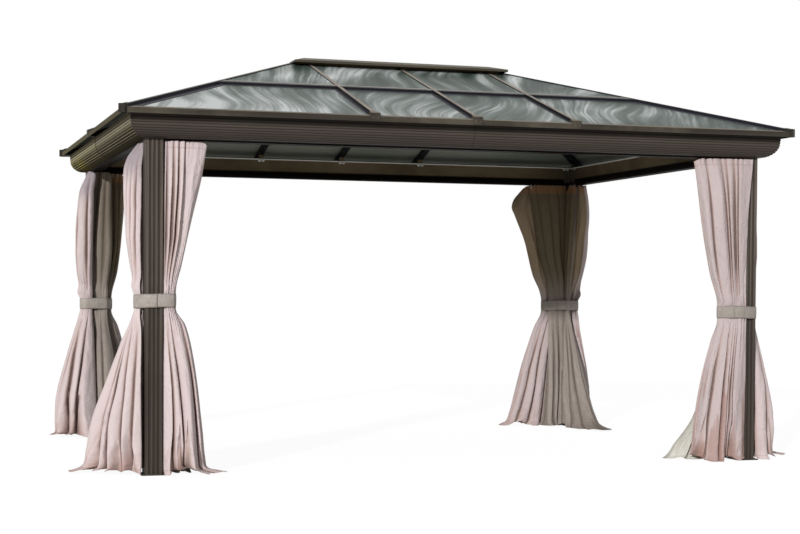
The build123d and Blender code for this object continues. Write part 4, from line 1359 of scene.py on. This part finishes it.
def gathered(cut, shape, tie, top, seed):
    rng = np.random.default_rng(seed)
    q, inner, hidden, turning, s, t = clothRun(cut)
    z = top * (1 - t)
    u, v, du, dv, reach = bundleRun(shape, q, z)
    thick = smoothRow(cut["half"], lambda value: value / 1000, z)
    band = tieHeight / 2
    over = np.clip((z - tie) / 0.05 + 0.5, 0, 1)
    away = np.maximum(np.abs(z - tie) - band, 0)
    swing = np.clip(q + 0.03 * smoothNoise(rng, 3, 3, t, q) * (1 - np.exp(-away / 0.3)), 0, 1)
    upper = np.clip(away / drape["openOver"], 0, 1) * drape["overShare"]
    grow = np.where(z > tie, upper, np.clip(away / drape["openUnder"], 0, 1))
    high = np.clip((z - drape["calmFrom"]) / (top - drape["calmFrom"]), 0, 1)
    grow = (grow * (1 - drape["calm"] * high**1.5)) ** 0.75

    def bothFolds(way):
        # folds over and under the tie have nothing to do with each other
        above = foldField(shape["above"][::way], swing, reach, rng, t)
        below = foldField(shape["below"][::way], swing, reach, rng, t)
        return [first * over + second * (1 - over) for first, second in zip(above, below)]

    fold, line, lean = bothFolds(1)
    lining, seam, _ = bothFolds(-1)
    fold = cut["fold"] * grow * fold
    lining = cut["fold"] * grow * 0.75 * lining

    # thin creases that run down the cloth, and wedges at the hem
    stray = np.exp(-((smoothNoise(rng, 3, 7, t, swing) / 0.08) ** 2))
    stray = stray * np.clip(smoothNoise(rng, 4, 6, t, q) * 2.5 - 0.5, 0, 1)
    fold = fold - drape["stray"] * stray * grow
    wedge = hemWedges(cut["wedges"], q, z, rng)
    opened = np.minimum(wedge, 0.9)
    fold = fold - drape["wedge"] * opened

    # pinches that fan out from the tie, a belly over it, and pencil pleats at the heading
    near = np.exp(-away / 0.15) * np.clip(0.8 + smoothNoise(rng, 4, 5, t, q), 0.2, 1.3)
    pinches = 8 + 1.5 * smoothNoise(rng, 3, 4, t, q)
    pinch = np.abs(np.sin(np.pi * q * pinches + 1.3 * smoothNoise(rng, 5, 5, t, q))) ** 0.55
    fold = fold + (pinch - 0.5) * drape["pinch"] * near
    puff = 1 + 0.8 * smoothNoise(rng, 34, 9, t, q)
    belly = np.exp(-(((z - tie - band - 0.045) / 0.045) ** 2)) * drape["belly"] * puff
    waist = np.exp(-(((tie - band - 0.05 - z) / 0.06) ** 2)) * drape["waist"]
    head = np.exp(-((top - z) / 0.08))
    pleat = np.abs(np.sin(np.pi * q * 9 + 1.5 * smoothNoise(rng, 2, 5, t, q))) ** 0.6
    drawn = np.clip(0.25 + 1.5 * smoothNoise(rng, 1, 4, t, q), 0, 1)
    fold = fold + belly + waist + (pleat - 0.5) * drape["pleat"] * head * drawn
    foot = np.exp(-z / 0.15)

    def crumpled():
        slant = np.clip(t + rng.uniform(-0.18, 0.18) * (q - 0.5), 0, 1)
        broad = smoothNoise(rng, 9, 6, slant, q)
        broken = np.abs(smoothNoise(rng, 13, 10, slant, q)) - np.abs(smoothNoise(rng, 9, 13, t, q))
        fine = np.abs(smoothNoise(rng, 30, 18, slant, q))
        rough = broad * drape["broad"] + broken * (drape["broken"] + drape["brokenFoot"] * foot)
        rough = rough - fine * (drape["fine"] + drape["fineFoot"] * foot)
        return rough * cut["crumple"] * np.clip(0.3 + away / 0.25, 0, 1)

    # both faces pushed out from the middle line, slimmer at the root and the leading edge
    tip = np.clip((q - 0.66) / 0.34, 0, 1)
    slim = (0.3 + 0.7 * np.clip(q / 0.22, 0, 1)) * (1 - (1 - cut["tip"]) * tip**2)
    outer = thick * slim + fold + crumpled()
    behind = thick * slim + lining + (pinch - 0.5) * drape["liningPinch"] * near + crumpled()
    push = outer * (1 - inner) - behind * inner
    push = np.where(hidden, thick * 0.5 * (1 - 2 * inner), push)
    relief = push * (1 - 2 * inner)
    cavity = np.clip((soften(relief, 14) - relief) / 0.0062, 0, 1)
    bulge = 0.9 * thick * cut["tip"] * (np.sin(np.pi * inner) * turning - q**6 * ~hidden)
    slide = fold * 0.42 * lean * (1 - inner) * ~hidden + bulge
    u = u + dv * push + du * slide
    v = v - du * push + dv * slide

    # the hem rests on the ground and spreads a little, and the heading droops between its hooks
    spill = np.clip(1 - z / drape["spill"], 0, 1)
    spread = spill**2 * (drape["spread"] + drape["spreadSway"] * smoothNoise(rng, 2, 9, t, q))
    spread = spread * (1 - 1.6 * inner) * (1 - 0.9 * wedge)
    u = u + dv * spread
    v = v - du * spread
    droop = drape["droop"] * np.clip((q - 0.84) / 0.16, 0, 1) ** 2 * head
    droop = droop + drape["pleatDroop"] * (1 - pleat) * head * drawn
    lift = drape["hemRise"] + drape["hemSway"] * np.clip(smoothNoise(rng, 2, 11, t, q), 0, 1)
    lift = lift + drape["wedgeRise"] * opened
    z = np.where(spill > 0, np.maximum(z * (1 - spill * 0.6), 0.0) + lift * spill, z - droop)

    # what the cloth's colour follows
    hem = drape["hem"] / cut["length"]
    edge = np.maximum(np.clip((t - 1 + hem * 1.5) / hem, 0, 1), np.clip((hem * 1.4 - t) / hem, 0, 1))
    # the crease mark is where the colour paints shade: folds, valleys, stray creases and hem wedges
    crease = np.maximum(cavity * 0.60, np.where(inner > 0.5, seam, line) * np.clip(grow * 1.4, 0, 1))
    deepened = np.maximum(opened * foot**0.3, stray * grow * 0.35) * (1 - inner)
    marks = {
        "crease": np.maximum(crease, deepened),
        "edge": np.maximum(edge, np.clip(1.6 - np.minimum(s, 1 - s) * 100, 0, 1)),
        "foot": foot,
        "inside": np.clip((z - tie) / 0.3, 0, 1) * np.clip(inner * 2 - 0.4, 0, 1),
        "heading": np.clip((z - top + 0.080) / 0.02, 0, 1) * np.clip(inner * 3 - 0.3, 0, 1),
    }
    return u, v, z, s, t, marks


def clothPiece(name, corner, swapped, points, st, marks, finish, flat):
    u, v, z = points
    if swapped:
        u, v = v, u
    wayX, wayY = corners[corner]
    placed = np.stack([wayX * (halfX - u), wayY * (halfY - v), z], axis=-1).reshape(-1, 3)
    rows, columns = u.shape
    index = np.arange(rows * columns).reshape(rows, columns)
    quads = np.stack([index[:-1, :-1], index[:-1, 1:], index[1:, 1:], index[1:, :-1]], axis=-1)
    quads = quads.reshape(-1, 4)
    if (wayX * wayY > 0) != swapped:
        quads = quads[:, ::-1]
    piece = meshPiece(name, placed, quads.tolist(), finish)
    layer = piece.data.uv_layers.new(name="cloth")
    laid = np.stack([st[0] * flat[0], (1 - st[1]) * flat[1]], axis=-1).reshape(-1, 2)
    loops = np.empty(len(piece.data.loops), int)
    piece.data.loops.foreach_get("vertex_index", loops)
    layer.data.foreach_set("uv", laid[loops].ravel())
    for label, values in marks.items():
        made = piece.data.attributes.new(label, "FLOAT", "POINT")
        made.data.foreach_set("value", np.ascontiguousarray(values.ravel(), dtype=np.float32))
    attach(piece, "root")
    return piece


def clothArea(u, v, z):
    # rough area, from the grid's cells
    grid = np.stack([u, v, z], axis=-1)
    across = grid[:-1, 1:] - grid[:-1, :-1]
    down = grid[1:, :-1] - grid[:-1, :-1]
    return float(np.linalg.norm(np.cross(across, down), axis=-1).sum())


# points that each tie goes round, from the post's own section on
postFace = 0.110
contents = {
    corner: [(0.0, 0.0), (postFace, 0.0), (0.0, postFace), (postFace, postFace)] for corner in corners
}


def hang(name, kind, corner, swapped, shape, finish, replaced, seed):
    cut = cuts[kind]
    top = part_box(replaced)[1].z - drape["headGap"]
    u, v, z, s, t, marks = gathered(cut, shape, ties[corner], top, seed)
    flat = (round(clothArea(u, v, z) / cut["length"] * 1.02, 2), cut["length"])
    piece = clothPiece(name, corner, swapped, (u, v, z), (s, t), marks, finish, flat)
    held = np.abs(z - ties[corner]) < tieHeight * 0.5
    contents[corner] += list(zip(v[held], u[held]) if swapped else zip(u[held], v[held]))
    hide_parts(replaced)


def netShape(corner, swapped):
    length = "short" if swapped else "long"
    return hangings.get(f"net_{corner}_{length}", hangings["net"])


for number, corner in enumerate(corners):
    end, hand = corner.split("_")
    for swapped, curtain in ((False, f"curtain_{end}_{hand}"), (True, f"curtain_{hand}_{end}")):
        hang(
            "cloth_" + curtain, "curtain", corner, swapped, hangings[curtain], "curtain",
            curtain, 3 + number + 10 * swapped,
        )
        hang(
            f"cloth_net_{corner}_{'short' if swapped else 'long'}", "net", corner, swapped,
            {**netShape(corner, swapped), **netFolds}, "paleNet" if corner == "front_right" else "net",
            f"net_{corner}", 33 + number + 10 * swapped,
        )

hooks = {
    "sizes": {"Spacing": 0.034, "Radius": 0.0024, "Rise": 0.030, "Jitter": 0.5},
    "start": 0.13, "endInset": 0.01, "inward": 0.095, "raised": 0.002,
}


def hook(board, given):
    radius, rise = given["Radius"], given["Rise"]
    eye = drum(board, radius * 2.0, radius * 2.0, rise, 10, radius)
    return union(board, drum(board, radius, rise, 0.0, 8), eye)


def hookLines():
    # the hooks that carry each net, along its head
    lines = []
    for corner, (wayX, wayY) in corners.items():
        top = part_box(f"net_{corner}")[1].z + hooks["raised"]
        for swapped in (False, True):
            last = netShape(corner, swapped)["edge"][2.07][0] / 1000 - hooks["endInset"]
            ends = [(along, hooks["inward"]) for along in (hooks["start"], last)]
            ends = [(v, u) if swapped else (u, v) for u, v in ends]
            ends = [Vector((wayX * (halfX - u), wayY * (halfY - v), top)) for u, v in ends]
            lines.append((*ends, Vector((0.0, 0.0, -1.0))))
    return lines


repeatAlong("net_hooks", hookLines(), hooks["sizes"], hook, "bolt")
print("curtains and nets")


# Tie bands

band = {
    "wall": 0.0022, "gap": 0.003, "lap": 0.075, "samples": 190, "rows": 11,
    "lapRise": 0.0042, "lapRamp": 0.012,  # how far the free end stands off, and the length it takes
    "waver": 0.0012, "cup": 0.0022, "sag": 0.0035, "sagSway": 0.0025, "rim": 0.010,
    "rounding": 7,  # degrees over which the loop is rounded
    # where each free end lies, in degrees round from the beam's direction, seen from above
    "ends": {"front_left": -118, "front_right": -100, "rear_left": 60, "rear_right": 60},
}


def bandPath(corner):
    # a tight loop round all that the tie holds
    packed = np.array(contents[corner])
    angles = np.radians(np.arange(360))
    facing = np.stack([np.cos(angles), np.sin(angles)])
    reach = (packed @ facing).max(axis=0) + band["gap"]
    around = np.arange(-20, 21)
    weights = np.exp(-((around / band["rounding"]) ** 2) / 2)
    reach = sum(np.roll(reach, shift) * weight for shift, weight in zip(around, weights)) / weights.sum()
    slope = (np.roll(reach, -1) - np.roll(reach, 1)) / 2 / math.radians(1)
    u = reach * np.cos(angles) - slope * np.sin(angles)
    v = reach * np.sin(angles) + slope * np.cos(angles)
    return u, v, np.cos(angles), np.sin(angles)


def bandPiece(corner):
    rng = np.random.default_rng(len(corner))
    turned = [np.roll(part, -band["ends"][corner]) for part in bandPath(corner)]
    once = [np.append(part, part[0]) for part in turned]
    length = np.concatenate([[0.0], np.cumsum(np.hypot(np.diff(once[0]), np.diff(once[1])))])
    around = length[-1] + band["lap"]
    s, t = np.meshgrid(np.linspace(0, around, band["samples"]), np.linspace(0, 1, band["rows"]))
    u, v, outU, outV = (np.interp(s % length[-1], length, part) for part in once)
    lapped = np.clip((s - length[-1]) / band["lapRamp"] + 0.6, 0, 1)
    lift = band["lapRise"] * lapped + band["waver"] * smoothNoise(rng, 1, 24, t, s / around)
    lift = lift - band["cup"] * np.abs(t * 2 - 1) ** 3
    u, v = u + outU * lift, v + outV * lift
    sag = band["sag"] * np.sin(s / around * 6.3 + 1.0)
    sag = sag + band["sagSway"] * smoothNoise(rng, 1, 7, t, s / around)
    z = ties[corner] + (t - 0.5) * tieHeight * (1 - 0.02 * lapped) + sag
    ends = np.minimum(s, around - s) / band["rim"]
    rim = np.maximum(np.abs(t - 0.5) * 2, np.clip(1.6 - ends, 0, 1))
    marks = {"edge": np.clip((rim - 0.6) / 0.4, 0, 1)}
    flat = (round(float(around), 3), tieHeight)
    laid = (s / around, 1 - t)
    piece = clothPiece(
        f"cloth_tie_{corner}", corner, False, (u, v, z), laid, marks, "band", flat
    )
    shell = piece.modifiers.new("thickness", "SOLIDIFY")
    shell.thickness = band["wall"]
    shell.offset = 0.0
    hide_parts(f"tie_band_{corner}")


for corner in corners:
    bandPiece(corner)
print("tie bands")


# Floor, light and camera

stageSizes = {
    "floor": 90.0, "sky": 0.46, "sun": 3.0, "softness": 2.2, "sunTurn": -38.0, "sunHeight": 16.5,
    "sunColour": (1.0, 0.985, 0.965), "ground": [(0.74, 0.72, 0.67), (0.68, 0.66, 0.61)],
    "white": 1.2, "seenWhite": 0.78, "mirroredWhite": 0.5,  # how white the floor is to eye and metal
}


def floorFinish():
    ground = Finish("paleFloor")
    seen = ground.node("ShaderNodeLightPath", output=0)
    glossy = ground.node("ShaderNodeLightPath", output=3)
    cloud = ground.noise(ground.place, 0.4, 2.0)
    plain = ground.shader({
        "Base Color": ground.blend(seen, ground.blend(cloud, *stageSizes["ground"]), (0.5, 0.5, 0.5)),
        "Roughness": 0.9,
        "Specular IOR Level": 0.0,
    })
    white = ground.node(
        "ShaderNodeEmission", None, {"Color": opaque((1.0, 1.0, 1.0)), "Strength": stageSizes["white"]}
    )
    share = seen * stageSizes["seenWhite"] + glossy * stageSizes["mirroredWhite"]
    return ground.show(ground.node("ShaderNodeMixShader", None, {0: share, 1: plain, 2: white}))


def setStage():
    half = stageSizes["floor"] / 2
    made = bpy.data.meshes.new("floor")
    square = [(-half, -half, 0), (half, -half, 0), (half, half, 0), (-half, half, 0)]
    made.from_pydata(square, [], [(0, 1, 2, 3)])
    made.materials.append(floorFinish())
    floor = bpy.data.objects.new("floor", made)
    sceneNow.collection.objects.link(floor)
    world = bpy.data.worlds.new("studio")
    sceneNow.world = world
    world.use_nodes = True
    board = Board(world.node_tree)
    world.node_tree.nodes.clear()
    camera = board.node("ShaderNodeLightPath", output=0)
    glossy = board.node("ShaderNodeLightPath", output=3)
    passed = board.node("ShaderNodeLightPath", output=6)
    seen = camera.maths("MAXIMUM", glossy).maths("MAXIMUM", passed)
    strength = seen * (1.0 - stageSizes["sky"]) + stageSizes["sky"]
    light = board.node("ShaderNodeBackground", None, {"Color": (1.0, 1.0, 1.0, 1.0), "Strength": strength})
    output = world.node_tree.nodes.new("ShaderNodeOutputWorld")
    world.node_tree.links.new(light.socket, output.inputs["Surface"])
    lamp = bpy.data.lights.new("softSun", "SUN")
    lamp.energy = stageSizes["sun"]
    lamp.angle = math.radians(stageSizes["softness"])
    lamp.color = stageSizes["sunColour"]
    sun = bpy.data.objects.new("softSun", lamp)
    sceneNow.collection.objects.link(sun)
    turn, height = math.radians(stageSizes["sunTurn"]), math.radians(stageSizes["sunHeight"])
    level = math.cos(height)
    towards = Vector((math.sin(turn) * level, -math.cos(turn) * level, math.sin(height)))
    sun.rotation_mode = "QUATERNION"
    sun.rotation_quaternion = towards.to_track_quat("Z", "Y")


shot = {
    "eye": (-3.6564, -11.4287, 1.1438), "turn": 0.28510, "tilt": -0.02601, "roll": 0.00647,
    "lens": 72.471, "shiftX": 0.05490, "shiftY": 0.08326,
}


def setCamera():
    turn, tilt, roll = shot["turn"], shot["tilt"], shot["roll"]
    ahead = Vector((math.sin(turn) * math.cos(tilt), math.cos(turn) * math.cos(tilt), math.sin(tilt)))
    right = Vector((math.cos(turn), -math.sin(turn), 0.0))
    up = right.cross(ahead)
    right = (right * math.cos(roll) + up * math.sin(roll)).normalized()
    up = right.cross(ahead)
    lens = bpy.data.cameras.new("camera")
    lens.lens = shot["lens"]
    lens.shift_x = shot["shiftX"]
    lens.shift_y = shot["shiftY"]
    camera = bpy.data.objects.new("camera", lens)
    sceneNow.collection.objects.link(camera)
    camera.matrix_world = Matrix((
        (right.x, up.x, -ahead.x, shot["eye"][0]),
        (right.y, up.y, -ahead.y, shot["eye"][1]),
        (right.z, up.z, -ahead.z, shot["eye"][2]),
        (0.0, 0.0, 0.0, 1.0),
    ))
    sceneNow.camera = camera


setStage()
setCamera()
sceneNow.view_settings.view_transform = "Standard"
print("stage, light and camera")

bpy.context.view_layer.update()
